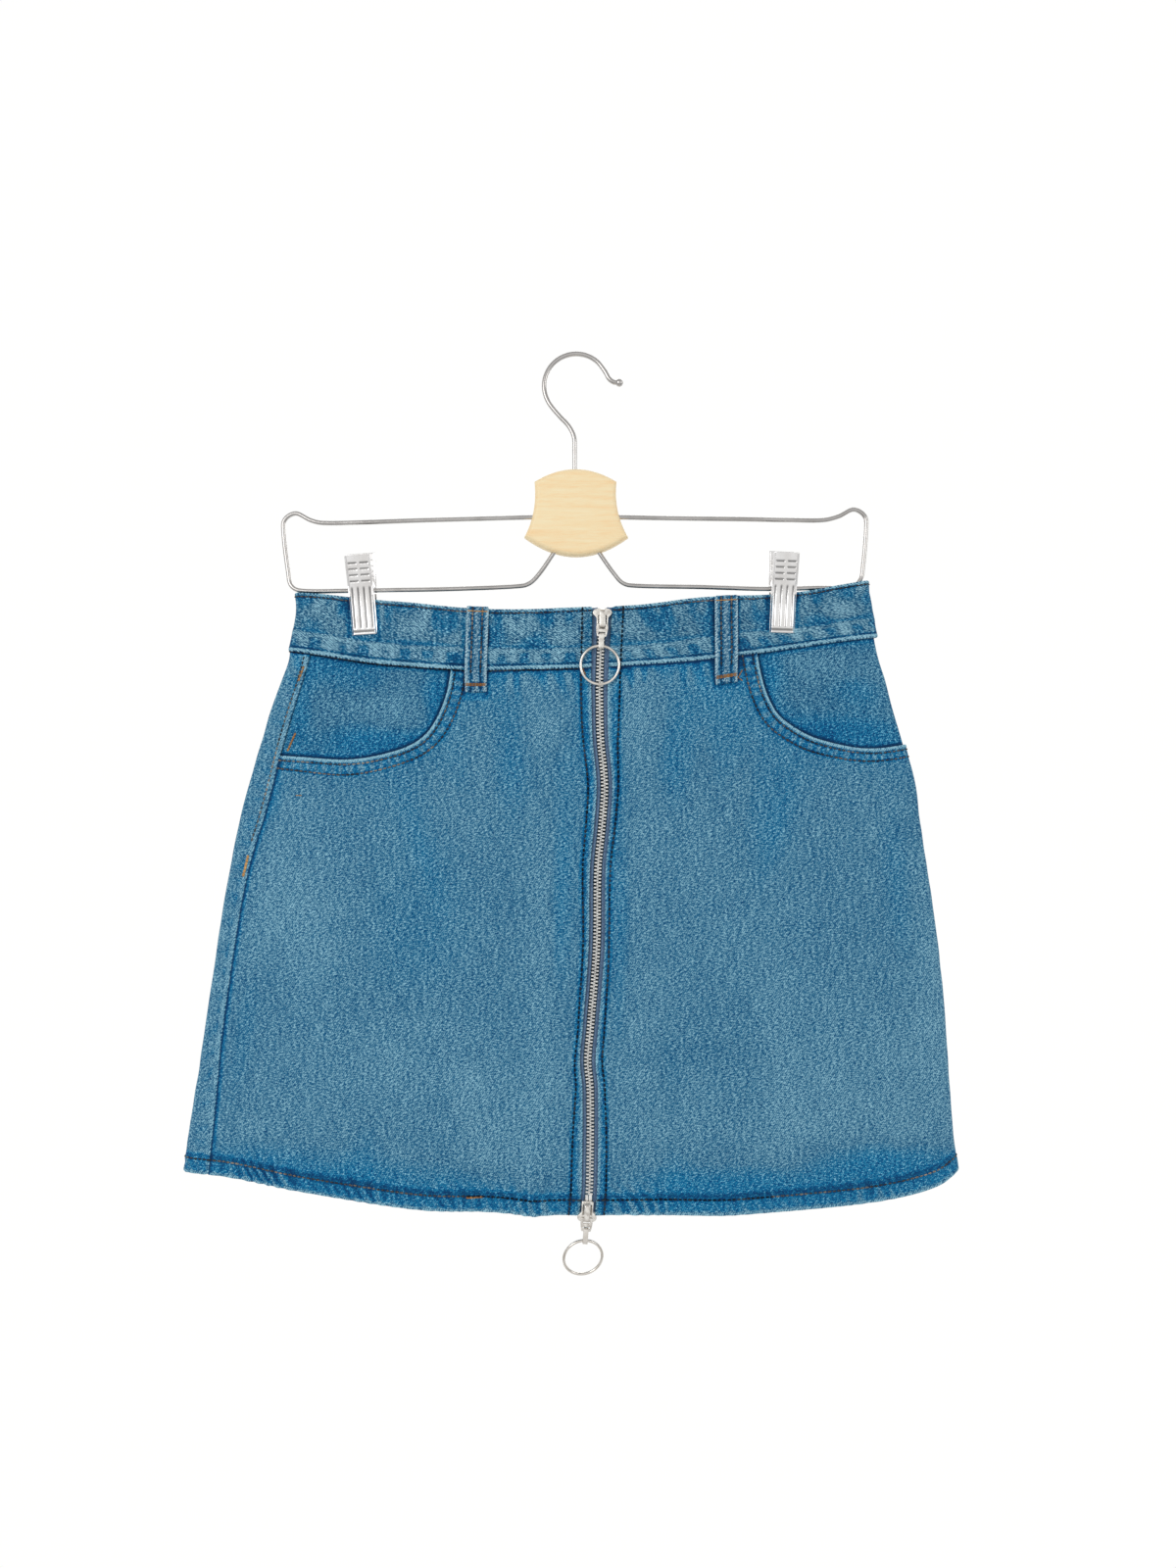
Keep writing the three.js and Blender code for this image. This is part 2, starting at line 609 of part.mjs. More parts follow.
// Sliders in their own frame: the middle of the cloth is Y 0 and the body's middle Z 0
function sliderBody(upsideDown) {
  const flip = upsideDown ? -1 : 1;
  const wide = 6.3;
  const narrow = 3.8;
  const outline = new THREE.Shape();
  outline.moveTo(-narrow, -SLIDER_HALF_LENGTH * flip);
  outline.lineTo(narrow, -SLIDER_HALF_LENGTH * flip);
  outline.lineTo(narrow, -0.6 * flip);
  outline.bezierCurveTo(narrow, 1.4 * flip, wide, 2.0 * flip, wide, 3.6 * flip);
  outline.bezierCurveTo(wide, 5.8 * flip, 4.2, 6.7 * flip, 2.2, SLIDER_HALF_LENGTH * flip);
  outline.lineTo(-2.2, SLIDER_HALF_LENGTH * flip);
  outline.bezierCurveTo(-4.2, 6.7 * flip, -wide, 5.8 * flip, -wide, 3.6 * flip);
  outline.bezierCurveTo(-wide, 2.0 * flip, -narrow, 1.4 * flip, -narrow, -0.6 * flip);
  const face = -SLIDER_FRONT - SLIDER_PLATE;
  const front = facingOut(toSolid(slab(outline, face, -SLIDER_FRONT, 5)));
  const back = facingOut(toSolid(slab(outline, SLIDER_BACK, SLIDER_BACK + 1.1, 5)));
  const neckEnds = [4.3 * flip, 6.5 * flip].sort((a, b) => a - b);
  const neckOutline = roundedRectangle(1.1, ...neckEnds, 0.4);
  const neck = facingOut(toSolid(slab(neckOutline, face + 0.4, SLIDER_BACK + 0.5, 2)));
  const arch = outlineShape([
    [face + 0.4, 6.0], [face - 1.5, 5.6], [face - BRIDGE_RISE, 4.0], [face - BRIDGE_RISE, -5.1],
    [face - 1.6, -6.1], [face + 0.4, -6.5],
  ]);
  const eye = outlineShape([
    [face, 4.6], [face - 1.9, 3.6], [face - 1.9, -5.1], [face - 0.9, -5.5], [face, -5.6],
  ]);
  const half = BRIDGE_WIDTH / 2;
  const bridge = facingOut(toSolid(sideSlab(arch, -half, half)))
    .subtract(facingOut(toSolid(sideSlab(eye, -half - 1, half + 1))));
  return toGeometry(front.add(back).add(neck).add(bridge));
}

function pullTab() {
  const shape = outlineShape([
    [-3.6, TAB_AXIS + 0.65], [3.6, TAB_AXIS + 0.65], [3.9, -6.4], [3.6, -9.2], [3.2, -11.6],
    [2.8, -12.15], [-2.8, -12.15], [-3.2, -11.6], [-3.6, -9.2], [-3.9, -6.4],
  ]);
  shape.holes.push(roundedRectangle(2.2, -7.0, TAB_AXIS - 0.65, 0.4, THREE.Path));
  shape.holes.push(roundedRectangle(2.25, -10.75, -9.2, 0.4, THREE.Path));
  return slab(shape, -TAB_THICKNESS / 2, TAB_THICKNESS / 2, 2);
}

function bandLink() {
  const inner = 1.3;
  const bottom = RING_AXIS - 1.4;
  const top = LINK_AXIS + 1.0;
  const shape = roundedRectangle(inner + LINK_BAND, bottom - LINK_BAND, top + LINK_BAND, 1.3);
  shape.holes.push(roundedRectangle(inner, bottom, top, 0.7, THREE.Path));
  return sideSlab(shape, -LINK_WIDTH / 2, LINK_WIDTH / 2, 3);
}

// The ring hangs from the link; turned and leaned at rest about the wire inside the link
function pullRing(yaw, back) {
  const radius = (RING_OUTER - RING_WIRE) / 2;
  const ring = new THREE.TorusGeometry(radius, RING_WIRE / 2, 8, 30);
  ring.rotateX(Math.PI / 2);
  ring.translate(0, 0, -radius);
  ring.rotateX(radians(back));
  ring.rotateZ(radians(yaw));
  ring.translate(0, 0, RING_AXIS);
  return ring;
}

function sliders() {
  for (const { end, x, z, lean, hang, upsideDown, yaw, back } of SLIDERS) {
    const level = levelAt(x, Math.max(z, -562));
    const body = new THREE.Group();
    body.position.set(x, surfacePoint(frontAngle(x, level), level).y, z);
    body.rotation.y = radians(lean);
    addMesh(`zip_slider_${end}`, sliderBody(upsideDown), "zipMetal", body);
    const pulls = new THREE.Group();
    pulls.position.set(0, -SLIDER_FRONT - SLIDER_PLATE - TAB_STANDOFF, TAB_AXIS);
    pulls.rotation.y = radians(hang - lean);
    const parts = new THREE.Group();
    parts.position.z = -TAB_AXIS;
    addMesh(`pull_tab_${end}`, pullTab(), "zipMetal", parts);
    addMesh(`pull_link_${end}`, bandLink(), "zipMetal", parts);
    addMesh(`pull_ring_${end}`, pullRing(yaw, back), "ringMetal", parts);
    pulls.add(parts);
    body.add(pulls);
    group.add(body);
  }
}

// Hanger
function hookPath() {
  const path = [[28.6, -17.6], [24.6, -17.0], [21.6, -14.6]];
  for (let degrees = 28; degrees <= 212; degrees += 23) {
    const turn = radians(degrees);
    path.push([HOOK_RADIUS * Math.cos(turn), HOOK_CENTRE_Z + HOOK_RADIUS * Math.sin(turn)]);
  }
  path.push([-11.2, -39.6], [-4.9, -46.4], [-1.4, -54.0], [-1.0, -64], [-1.0, -88]);
  return path;
}

function hook() {
  const path = hookPath();
  const ball = new THREE.SphereGeometry(HOOK_BALL, 10, 7);
  ball.translate(path[0][0], 0, path[0][1]);
  const wire = facingOut(toSolid(wireAlong(path, HOOK_WIRE, 48, 8)));
  return toGeometry(wire.add(toSolid(ball)));
}

function woodBlock() {
  const outline = new THREE.Shape();
  outline.moveTo(-27.6, -83.9);
  outline.quadraticCurveTo(-0.5, -67.2, 26.7, -83.9);
  outline.quadraticCurveTo(24.6, -104, 34.3, -120.5);
  outline.quadraticCurveTo(0, -145.4, -34.3, -120.5);
  outline.quadraticCurveTo(-25.4, -104, -27.6, -83.9);
  const half = BLOCK_THICKNESS / 2;
  let block = facingOut(toSolid(slab(outline, -half, half, 10)));
  const seats = [
    [hookPath(), HOOK_WIRE, 40],
    [FRAME_WIRES.left, FRAME_WIRE, 60],
    [FRAME_WIRES.right, FRAME_WIRE, 60],
  ];
  for (const [path, diameter, steps] of seats) {
    const clearance = diameter + 2 * WIRE_SEAT_GAP + 0.3;
    block = block.subtract(facingOut(toSolid(wireAlong(pastEnds(path), clearance, steps, 12))));
  }
  return toGeometry(block);
}

// A wire's path made a little longer, for the hole that the wire sits in
function pastEnds(path) {
  const reachOut = ([x1, z1], [x2, z2]) => {
    const length = Math.hypot(x1 - x2, z1 - z2);
    return [x1 + ((x1 - x2) * WIRE_SEAT_GAP) / length, z1 + ((z1 - z2) * WIRE_SEAT_GAP) / length];
  };
  return [reachOut(path[0], path[1]), ...path.slice(1, -1), reachOut(path.at(-1), path.at(-2))];
}

// One plate of a clip in its own frame: the rail is the X axis and the plate faces -Y
function clipPlate(topY, topZ, earX) {
  const half = CLIP_WIDTH / 2;
  const plate = outlineShape([
    [-topY - 0.5, topZ], [-6.7, 0], [-5.1, -10], [-3.85, -29.3],
    [-3.85 + CLIP_SHEET, -29.3], [-4.1, -10], [-5.7, 0], [-topY + 0.5, topZ],
  ]);
  const ear = outlineShape([
    [-7.0, 5.4], [-6.2, -4.4], [-3.4, -4.0], [-2.2, -2.7], [1.4, -2.7], [2.8, -1.2], [2.8, 1.2], [1.4, 2.8],
  ]);
  const bore = new THREE.Path();
  bore.absarc(0, 0, CLIP_HOLE, 0, 2 * Math.PI);
  ear.holes.push(bore);
  let solid = facingOut(toSolid(sideSlab(plate, -half, half)));
  for (const x of [-earX, earX]) {
    solid = solid.add(facingOut(toSolid(sideSlab(ear, x - CLIP_SHEET / 2, x + CLIP_SHEET / 2, 8))));
  }
  return toGeometry(solid);
}

function clipSpring() {
  const inner = 1.95;
  const outer = 2.7;
  const half = 5.2;
  const profile = [[inner, -half], [outer, -half], [outer, half], [inner, half], [inner, -half]];
  const spring = new THREE.LatheGeometry(profile.map(([r, h]) => new THREE.Vector2(r, h)), 14);
  spring.rotateZ(Math.PI / 2);
  return toGeometry(facingOut(toSolid(spring)));
}

function clips() {
  for (const { side, railX, railZ, lean } of CLIPS) {
    const clip = new THREE.Group();
    clip.position.set(railX, 0, railZ);
    clip.rotation.y = radians(lean);
    addMesh(`clip_front_${side}`, clipPlate(12, 21.7, 7.7), "steel", clip);
    const back = addMesh(`clip_back_${side}`, clipPlate(10.6, 26.5, 6.4), "steel", clip);
    back.rotation.z = Math.PI;
    addMesh(`clip_spring_${side}`, clipSpring(), "steel", clip);
    group.add(clip);
  }
}

function hanger() {
  addMesh("hanger_hook", hook(), "steel");
  addMesh("hanger_block", woodBlock(), "wood");
  for (const [side, path] of Object.entries(FRAME_WIRES)) {
    addMesh(`hanger_wire_${side}`, wireAlong(path, FRAME_WIRE, 60), "steel");
  }
  clips();
}

addMesh("front_left", frontLeft(), "denim");
addMesh("front_right", frontRight(), "denim");
addMesh("back_panel", backPanel(), "denim");
addMesh("waistband", waistband(), "denim");
addMesh("pocket_facing_left", facing("left"), "facing");
addMesh("pocket_facing_right", facing("right"), "facing");
for (const loop of BELT_LOOPS) addMesh(loop.name, beltLoop(loop), "denim");
zip();
sliders();
hanger();

export default group;
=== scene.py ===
import math

import bmesh
import bpy
import numpy as np
from mathutils import Matrix, Vector


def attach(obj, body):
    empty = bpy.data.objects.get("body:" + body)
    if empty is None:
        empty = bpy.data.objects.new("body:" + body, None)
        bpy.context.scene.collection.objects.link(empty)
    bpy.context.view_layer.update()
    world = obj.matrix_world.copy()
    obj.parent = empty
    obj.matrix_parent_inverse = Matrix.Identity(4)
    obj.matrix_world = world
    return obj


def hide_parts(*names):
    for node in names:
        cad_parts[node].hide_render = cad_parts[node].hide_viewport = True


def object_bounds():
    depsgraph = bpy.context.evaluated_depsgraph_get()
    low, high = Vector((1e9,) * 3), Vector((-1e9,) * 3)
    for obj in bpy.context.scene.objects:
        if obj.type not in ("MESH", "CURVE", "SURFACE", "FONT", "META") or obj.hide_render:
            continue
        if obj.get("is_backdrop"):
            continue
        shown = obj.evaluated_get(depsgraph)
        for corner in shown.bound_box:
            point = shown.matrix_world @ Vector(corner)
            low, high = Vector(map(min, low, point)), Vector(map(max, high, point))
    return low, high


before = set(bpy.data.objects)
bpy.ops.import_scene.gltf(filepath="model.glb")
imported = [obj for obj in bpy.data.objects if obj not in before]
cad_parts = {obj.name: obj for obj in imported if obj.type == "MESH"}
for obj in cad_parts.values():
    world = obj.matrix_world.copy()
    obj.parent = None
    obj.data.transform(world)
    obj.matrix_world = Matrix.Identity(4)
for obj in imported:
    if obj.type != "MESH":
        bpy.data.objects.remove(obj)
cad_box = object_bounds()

# Camera. It looks level and straight at the skirt, 780 mm in front of the hanger's rails.
# It and the lamps are placed in metres. All other sizes are in millimetres, as a maker reads
# them, and turn to metres in the meshes.
MM = 0.001


def set_in_scene(name, data):
    """A new object in the scene, at the origin."""
    made = bpy.data.objects.new(name, data)
    bpy.context.scene.collection.objects.link(made)
    return made


camera_data = bpy.data.cameras.new("camera")
camera_data.lens = 27
camera = set_in_scene("camera", camera_data)
camera.location = (0.0078, -0.780, -0.28366)
camera.rotation_euler = (math.pi / 2, 0, 0)
bpy.context.scene.camera = camera
bpy.context.scene.view_settings.view_transform = "Standard"


# Studio. A pale round floor well below the hem, a pale surround that is a little darker
# behind the camera so that metal has something to mirror, and three soft lamps.
def put(tree, kind, inputs=None, **settings):
    """Adds one node. inputs gives each socket a number, a colour or another node's output."""
    made = tree.nodes.new(kind)
    for key, value in settings.items():
        setattr(made, key, value)
    for socket, value in (inputs or {}).items():
        if isinstance(value, bpy.types.NodeSocket):
            tree.links.new(value, made.inputs[socket])
        else:
            made.inputs[socket].default_value = value
    return made


def new_finish(name):
    finish = bpy.data.materials.new(name)
    finish.use_nodes = True
    finish.node_tree.nodes.clear()
    return finish, finish.node_tree


def ramp(tree, factor, stops):
    """A colour ramp; stops are (place, colour) pairs."""
    made = put(tree, "ShaderNodeValToRGB", {0: factor})
    bar = made.color_ramp.elements
    while len(bar) < len(stops):
        bar.new(0.5)
    for element, (place, colour) in zip(bar, stops):
        element.position = place
        element.color = colour
    return made.outputs[0]


def own_place(tree):
    """Places on the piece itself, so that a pattern stays with it when it moves."""
    return put(tree, "ShaderNodeTexCoord").outputs["Object"]


def noise(tree, at, scale=1.0, detail=2.0, roughness=0.5, stretch=None, turn=(0, 0, 0)):
    """Cloudy values, 0 to 1; stretch says how fine they are in each direction, turn how they lean."""
    if stretch:
        at = put(tree, "ShaderNodeMapping", {0: at, "Rotation": turn, "Scale": stretch}).outputs[0]
    cloud = {"Vector": at, "Scale": scale, "Detail": detail, "Roughness": roughness}
    return put(tree, "ShaderNodeTexNoise", cloud).outputs[0]


def surface(tree, looks):
    """Ends a finish in one shader with these looks."""
    shader = put(tree, "ShaderNodeBsdfPrincipled", looks)
    put(tree, "ShaderNodeOutputMaterial", {"Surface": shader.outputs[0]})


SURROUND_GLOW = 1.06
SURROUND = [
    # from behind the camera (0) to behind the skirt (1)
    (0.0, (0.80, 0.80, 0.80, 1)), (0.10, (0.62, 0.62, 0.62, 1)), (0.22, (0.46, 0.46, 0.47, 1)),
    (0.42, (0.48, 0.48, 0.49, 1)), (0.80, (0.95, 0.95, 0.94, 1)),
]
world = bpy.data.worlds.new("surround")
bpy.context.scene.world = world
world.use_nodes = True
sky = world.node_tree
sky.nodes.clear()
way = put(sky, "ShaderNodeSeparateXYZ", {0: put(sky, "ShaderNodeTexCoord").outputs["Generated"]})
ahead = put(sky, "ShaderNodeMapRange", {0: way.outputs["Y"], 1: -1.0, 2: 1.0})
glow = put(sky, "ShaderNodeBackground", {0: ramp(sky, ahead.outputs[0], SURROUND), 1: SURROUND_GLOW})
put(sky, "ShaderNodeOutputWorld", {0: glow.outputs[0]})

FLOOR_RADIUS = 500
FLOOR_HEIGHT = -1250
floor_mesh = bpy.data.meshes.new("floor")
floor_form = bmesh.new()
bmesh.ops.create_circle(floor_form, cap_ends=True, radius=FLOOR_RADIUS * MM, segments=96)
bmesh.ops.translate(floor_form, verts=floor_form.verts, vec=(0, 0, FLOOR_HEIGHT * MM))
floor_form.to_mesh(floor_mesh)
floor_form.free()
floor = set_in_scene("floor", floor_mesh)
floor_finish, tree = new_finish("pale_floor")
speck = noise(tree, own_place(tree), scale=9.0)
floor_colour = ramp(tree, speck, [(0.3, (0.80, 0.79, 0.77, 1)), (0.7, (0.84, 0.83, 0.81, 1))])
surface(tree, {"Base Color": floor_colour, "Roughness": 0.9})
floor_mesh.materials.append(floor_finish)
floor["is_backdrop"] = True

LAMPS = [
    # name, place in metres, size in metres, power
    ("left_lamp", (-1.1, -1.45, 0.15), 1.1, 10),
    ("right_lamp", (1.6, -0.9, 0.2), 0.9, 5),
    ("back_lamp", (0.3, 1.9, 0.7), 1.4, 8),
]
LAMPS_AIM = Vector((0, 0, -0.36))
for lamp_name, place, size, power in LAMPS:
    lamp_data = bpy.data.lights.new(lamp_name, "AREA")
    lamp_data.size = size
    lamp_data.energy = power
    lamp = set_in_scene(lamp_name, lamp_data)
    lamp.location = place
    lamp.rotation_euler = (LAMPS_AIM - lamp.location).to_track_quat("-Z", "Y").to_euler()


# Front panels. Washed mid-blue right-hand twill, about 1.1 mm thick, each with a scooped pocket
# opening that is turned under and stitched twice, a turned-up hem and a folded edge at the zip.
# Their form is one flat tube of cloth: angle 0 is the right fold, half pi the front, pi the left
# fold; level -1 is the waist edge, 0 the waistband seam and 1 the hem.
OUTLINE = [
    # height, left side, right side
    (-148, -184.9, 192.4), (-158, -184.9, 193.2), (-172, -184.5, 195.8), (-193, -188.9, 199.4),
    (-203, -190.4, 201.8), (-214, -194.6, 205.4), (-232, -201.0, 210.1), (-258, -208.8, 217.6),
    (-284, -216.6, 224.4), (-310, -223.1, 227.9), (-362, -232.9, 235.5), (-414, -240.8, 241.9),
    (-466, -248.5, 245.9), (-518, -256.8, 249.8), (-545, -260.0, 253.6),
]
EDGES = [
    # share of the width, waist edge, seam, hem
    (0.0, -157.9, -195.2, -539.0), (0.06, -159.6, -198.6, -540.6), (0.15, -162.9, -203.7, -548.4),
    (0.3, -169.0, -208.4, -559.6), (0.4, -169.8, -208.0, -561.8), (0.5, -168.4, -207.0, -563.2),
    (0.6, -166.9, -204.8, -563.0), (0.7, -162.2, -201.7, -562.8), (0.8, -159.8, -196.7, -560.2),
    (0.9, -156.5, -191.2, -555.3), (0.97, -151.9, -187.6, -547.5), (1.0, -149.8, -186.2, -538.5),
]
FULLNESS = [
    # height, half the depth, bluntness of the side folds
    (-148, 7.8, 0.6), (-205, 8.5, 0.6), (-260, 10.5, 0.65), (-330, 12.5, 0.7), (-430, 14.5, 0.75),
    (-545, 16.0, 0.8),
]
FOLDS = [
    # side (1 front, -1 back), from x, z, to x, z, half width, how far it stands out
    (1, -22, -235, -20, -500, 15, 2.2), (1, 40, -235, 36, -500, 15, 2.0),
    (1, -27, -505, -29, -600, 10, 3.6), (1, -60, -500, -62, -600, 20, -2.2),
    (1, 95, -480, 100, -600, 24, 2.2), (1, -150, -300, -175, -540, 26, 2.2),
    (1, -105, -330, -112, -470, 24, -2.0), (1, 150, -300, 178, -520, 26, 1.8),
    (-1, -70, -260, -82, -600, 24, 2.4), (-1, 20, -280, 22, -520, 22, -2.0),
    (-1, 105, -270, 128, -600, 26, 2.6),
]
CREASES = [
    # the same columns: slight creases, pulls and dents, too small for the solid
    (1, -98, -268, -62, -330, 9, 0.55), (1, -118, -276, -88, -362, 8, -0.45),
    (1, -64, -236, -60, -318, 7, 0.5), (1, -44, -226, -40, -300, 8, -0.4),
    (1, 60, -226, 66, -306, 9, -0.45), (1, 84, -230, 82, -300, 6, 0.4),
    (1, 116, -250, 98, -322, 8, 0.5), (1, 142, -270, 118, -352, 9, -0.45),
    (1, -190, -300, -214, -420, 10, 0.5), (1, -206, -380, -226, -500, 9, -0.5),
    (1, 206, -300, 222, -420, 10, -0.5), (1, 196, -420, 216, -540, 11, 0.5),
    (1, -8, -300, -13, -420, 6, -0.5), (1, 32, -330, 26, -470, 6, -0.5),
    (1, -84, -430, -52, -556, 12, 0.6), (1, 58, -440, 66, -560, 11, -0.5),
    (1, 128, -400, 140, -556, 13, 0.5), (1, -128, -480, -150, -570, 12, -0.5),
    (1, 60, -520, 190, -470, 12, 0.35), (1, -170, -430, -60, -400, 14, 0.3),
    (-1, -140, -240, -168, -400, 11, 0.5), (-1, -40, -226, -30, -340, 9, 0.5),
    (-1, 60, -226, 70, -350, 10, -0.5), (-1, 150, -240, 172, -420, 12, 0.5),
    (-1, -130, -400, -160, -570, 13, -0.5), (-1, -20, -400, -26, -570, 12, 0.55),
    (-1, 70, -420, 76, -570, 11, -0.5), (-1, 180, -380, 206, -540, 12, 0.45),
    (-1, -60, -470, 90, -440, 14, 0.3), (-1, 4, -228, 10, -300, 8, 0.45),
]
CLIP_PLACES = (-140.6, 136.4)  # across, as the belt loops' feet below
LOOP_PLACES = (-65.7, 98.2)
DENIM = 1.1  # its thickness
HEM_HEIGHT = 9.3
HEM_WALL = 2.6
SKIRT_LENGTH = 355  # from the waistband seam to the hem
BAND_HEIGHT = 38
SEAM_GAP = 0.3
RIGHT_WRAP = 14  # how far the right panel runs round to the back
PANEL_TOP = SEAM_GAP / 2 / SKIRT_LENGTH
SIGN = {"left": -1, "right": 1}
ZIP_LINE = [
    # height, middle of the zip, half the gap between the cloth's folded edges
    (-168, 17.2, 7.2), (-208, 15.6, 6.2), (-225, 15.3, 5.7), (-253, 15.9, 5.6), (-284, 18.6, 5.6),
    (-309, 17.1, 5.6), (-339, 14.2, 5.6), (-390, 13.4, 5.6), (-443, 9.3, 5.5), (-464, 7.6, 5.5),
    (-482, 9.2, 5.5), (-544, 8.8, 5.5), (-566, 7.0, 5.5),
]
ZIP_SHARE = 0.53  # where the zip and the left side seam lie in the width, for their heights
LEFT_SEAM_SHARE = 0.03
LEFT_SEAM = [
    # height, across
    (-197, -175.4), (-212, -179.7), (-249, -190.9), (-302, -204.6), (-337, -215.0), (-374, -222.3),
    (-449, -233.1), (-492, -237.1), (-545, -242.4),
]
POCKETS = {
    # across, height, from the waistband seam to the side seam
    "left": [
        (-80.5, -200), (-81.6, -207.5), (-85.0, -225.6), (-91.3, -241.5), (-99.0, -252.2),
        (-110.5, -259.7), (-129.8, -265.5), (-151.0, -268.2), (-177.7, -266.6), (-205.0, -264.8),
    ],
    "right": [
        (118.0, -190), (119.0, -198.0), (121.3, -210.6), (124.8, -223.2), (131.2, -236.6), (139.6, -244.6),
        (151.8, -252.0), (164.5, -256.3), (183.5, -260.2), (201.6, -260.4), (235.0, -255.0),
    ],
}


def read(rows, column, at):
    """A table's column at a place along its first column, as a smooth curve through the rows."""
    table = np.array(sorted(rows), float)
    keys, values = table[:, 0], table[:, column]
    before = np.maximum(np.arange(len(keys)) - 1, 0)
    after = np.minimum(np.arange(len(keys)) + 1, len(keys) - 1)
    slopes = (values[after] - values[before]) / (keys[after] - keys[before])
    place = np.clip(at, keys[0], keys[-1])
    i = np.clip(np.searchsorted(keys, place, side="right") - 1, 0, len(keys) - 2)
    span = keys[i + 1] - keys[i]
    s = (place - keys[i]) / span
    return (
        (1 + 2 * s) * (1 - s) ** 2 * values[i] + s * (1 - s) ** 2 * span * slopes[i]
        + s * s * (3 - 2 * s) * values[i + 1] + s * s * (s - 1) * span * slopes[i + 1]
    )


def ease(value, start, end):
    """0 before the start and 1 beyond the end, with a soft slope between."""
    s = np.clip((value - start) / (end - start), 0, 1)
    return s * s * (3 - 2 * s)


def bump(value, half_width):
    """1 at zero, falling softly to nothing on both sides."""
    return np.exp(-((value / half_width) ** 2))


def height_at(share, level):
    """The height of a level at a share of the skirt's width, from the left."""
    seam = read(EDGES, 2, share)
    edge = np.where(level < 0, read(EDGES, 1, share), read(EDGES, 3, share))
    return seam + (edge - seam) * np.abs(level)


def sides_at(level):
    """The middle and half the width of the skirt at a level."""
    left = read(OUTLINE, 1, height_at(np.zeros_like(level), level))
    right = read(OUTLINE, 2, height_at(np.ones_like(level), level))
    return (left + right) / 2, (right - left) / 2


FOLD_START = (20, -50)  # heights beside a fold's two ends, over which it comes and goes
FOLD_STOP = (-30, 40)


def fold_rise(folds, front, x, z):
    """How far long soft folds lift the cloth at a place."""
    rise = np.zeros_like(x)
    for side, x0, z0, x1, z1, width, height in folds:
        s = np.clip((z - z0) / (z1 - z0), 0, 1)
        ends = ease(z, z0 + FOLD_START[0], z0 + FOLD_START[1]) * ease(z, z1 + FOLD_STOP[0], z1 + FOLD_STOP[1])
        rise += np.where(front == (side > 0), height * ends * bump(x - (x0 + (x1 - x0) * s), width), 0)
    return rise


WAVES = 7
WAVES_HEIGHT = 3.7


def unevenness(u, v, size, seed):
    """Soft hills and dips of about that size, between -1 and 1, the same on each run."""
    dice = np.random.default_rng(seed)
    total = np.zeros_like(u + v)
    for _ in range(WAVES):
        turn, phase, stretch = dice.uniform(0, 2 * math.pi), dice.uniform(0, 2 * math.pi), dice.uniform(0.7, 1.5)
        total += np.sin((u * math.cos(turn) + v * math.sin(turn)) * 2 * math.pi / size / stretch + phase)
    return total / WAVES_HEIGHT


CLIP_HOLD = (9.5, 38)  # from a clip's middle: pressed together up to the first, free beyond the second
CLIP_FOOT = -186.4  # height of the clips' feet, and where the cloth below is full again
CLIP_RELEASE = -270
CLIP_PRESSED = 0.9  # half the cloth's depth in the clips, and what it gains just below them
CLIP_GAIN = 1.2


def cloth_middle(angle, level):
    """The middle of the cloth, as the solid has it."""
    angle, level = np.broadcast_arrays(np.asarray(angle, float), np.asarray(level, float))
    middle, half = sides_at(level)
    x = middle + half * np.cos(angle)
    z = height_at((1 + np.cos(angle)) / 2, level)
    sine = np.sin(angle)
    full = read(FULLNESS, 1, z) * (sine * sine + 0.004) ** ((read(FULLNESS, 2, z) - 1) / 2)
    near_clip = np.max([1 - ease(np.abs(x - place), *CLIP_HOLD) for place in CLIP_PLACES], axis=0)
    pinch = near_clip * (1 - ease(z, CLIP_FOOT, CLIP_RELEASE))
    openness = np.abs(sine) * full
    held = np.minimum(CLIP_PRESSED + CLIP_GAIN * ease(z, CLIP_FOOT, CLIP_FOOT - 10), openness)
    swell = fold_rise(FOLDS, sine > 0, x, z) * np.minimum(1, 2 * np.abs(sine)) * (1 - pinch)
    y = openness + (held - openness) * pinch + swell
    return np.stack([x, np.where(sine > 0, -y, y), z], axis=-1)


ANGLE_STEP = 0.012
LEVEL_STEP = 0.004


def cloth_normal(angle, level):
    """Which way the cloth faces; it doesn't look past the waistband seam, where the cloth bends."""
    angle, level = np.broadcast_arrays(np.asarray(angle, float), np.asarray(level, float))
    across = cloth_middle(angle + ANGLE_STEP, level) - cloth_middle(angle - ANGLE_STEP, level)
    low = np.where(level < 0, np.minimum(level + LEVEL_STEP, 0), level + LEVEL_STEP)
    high = np.where(level < 0, level - LEVEL_STEP, np.maximum(level - LEVEL_STEP, 0))
    normal = np.cross(across, cloth_middle(angle, low) - cloth_middle(angle, high))
    return normal / np.linalg.norm(normal, axis=-1, keepdims=True)


def stand_off(angle, level, distance):
    """A place that far outside the middle of the cloth."""
    return cloth_middle(angle, level) + cloth_normal(angle, level) * np.asarray(distance)[..., None]


def front_angle(x, level):
    """The angle of a place on the front, given across."""
    middle, half = sides_at(level)
    return np.arccos(np.clip((x - middle) / half, -1, 1))


def on_front(x, z):
    """Angle and level of a place on the front, given across and up."""
    x, z = np.asarray(x, float), np.asarray(z, float)
    level = np.zeros_like(x)
    for _ in range(12):
        middle, half = sides_at(level)
        share = np.clip(((x - middle) / half + 1) / 2, 0, 1)
        seam = read(EDGES, 2, share)
        above = (z - seam) / (read(EDGES, 1, share) - seam)
        below = (z - seam) / (read(EDGES, 3, share) - seam)
        level = np.where(z > seam, -above, below)
    return front_angle(x, level), level


def zip_height(level):
    return height_at(np.full_like(level, ZIP_SHARE), level)


def zip_x(level):
    return read(ZIP_LINE, 1, zip_height(level))


def zip_gap(level):
    return read(ZIP_LINE, 2, zip_height(level))


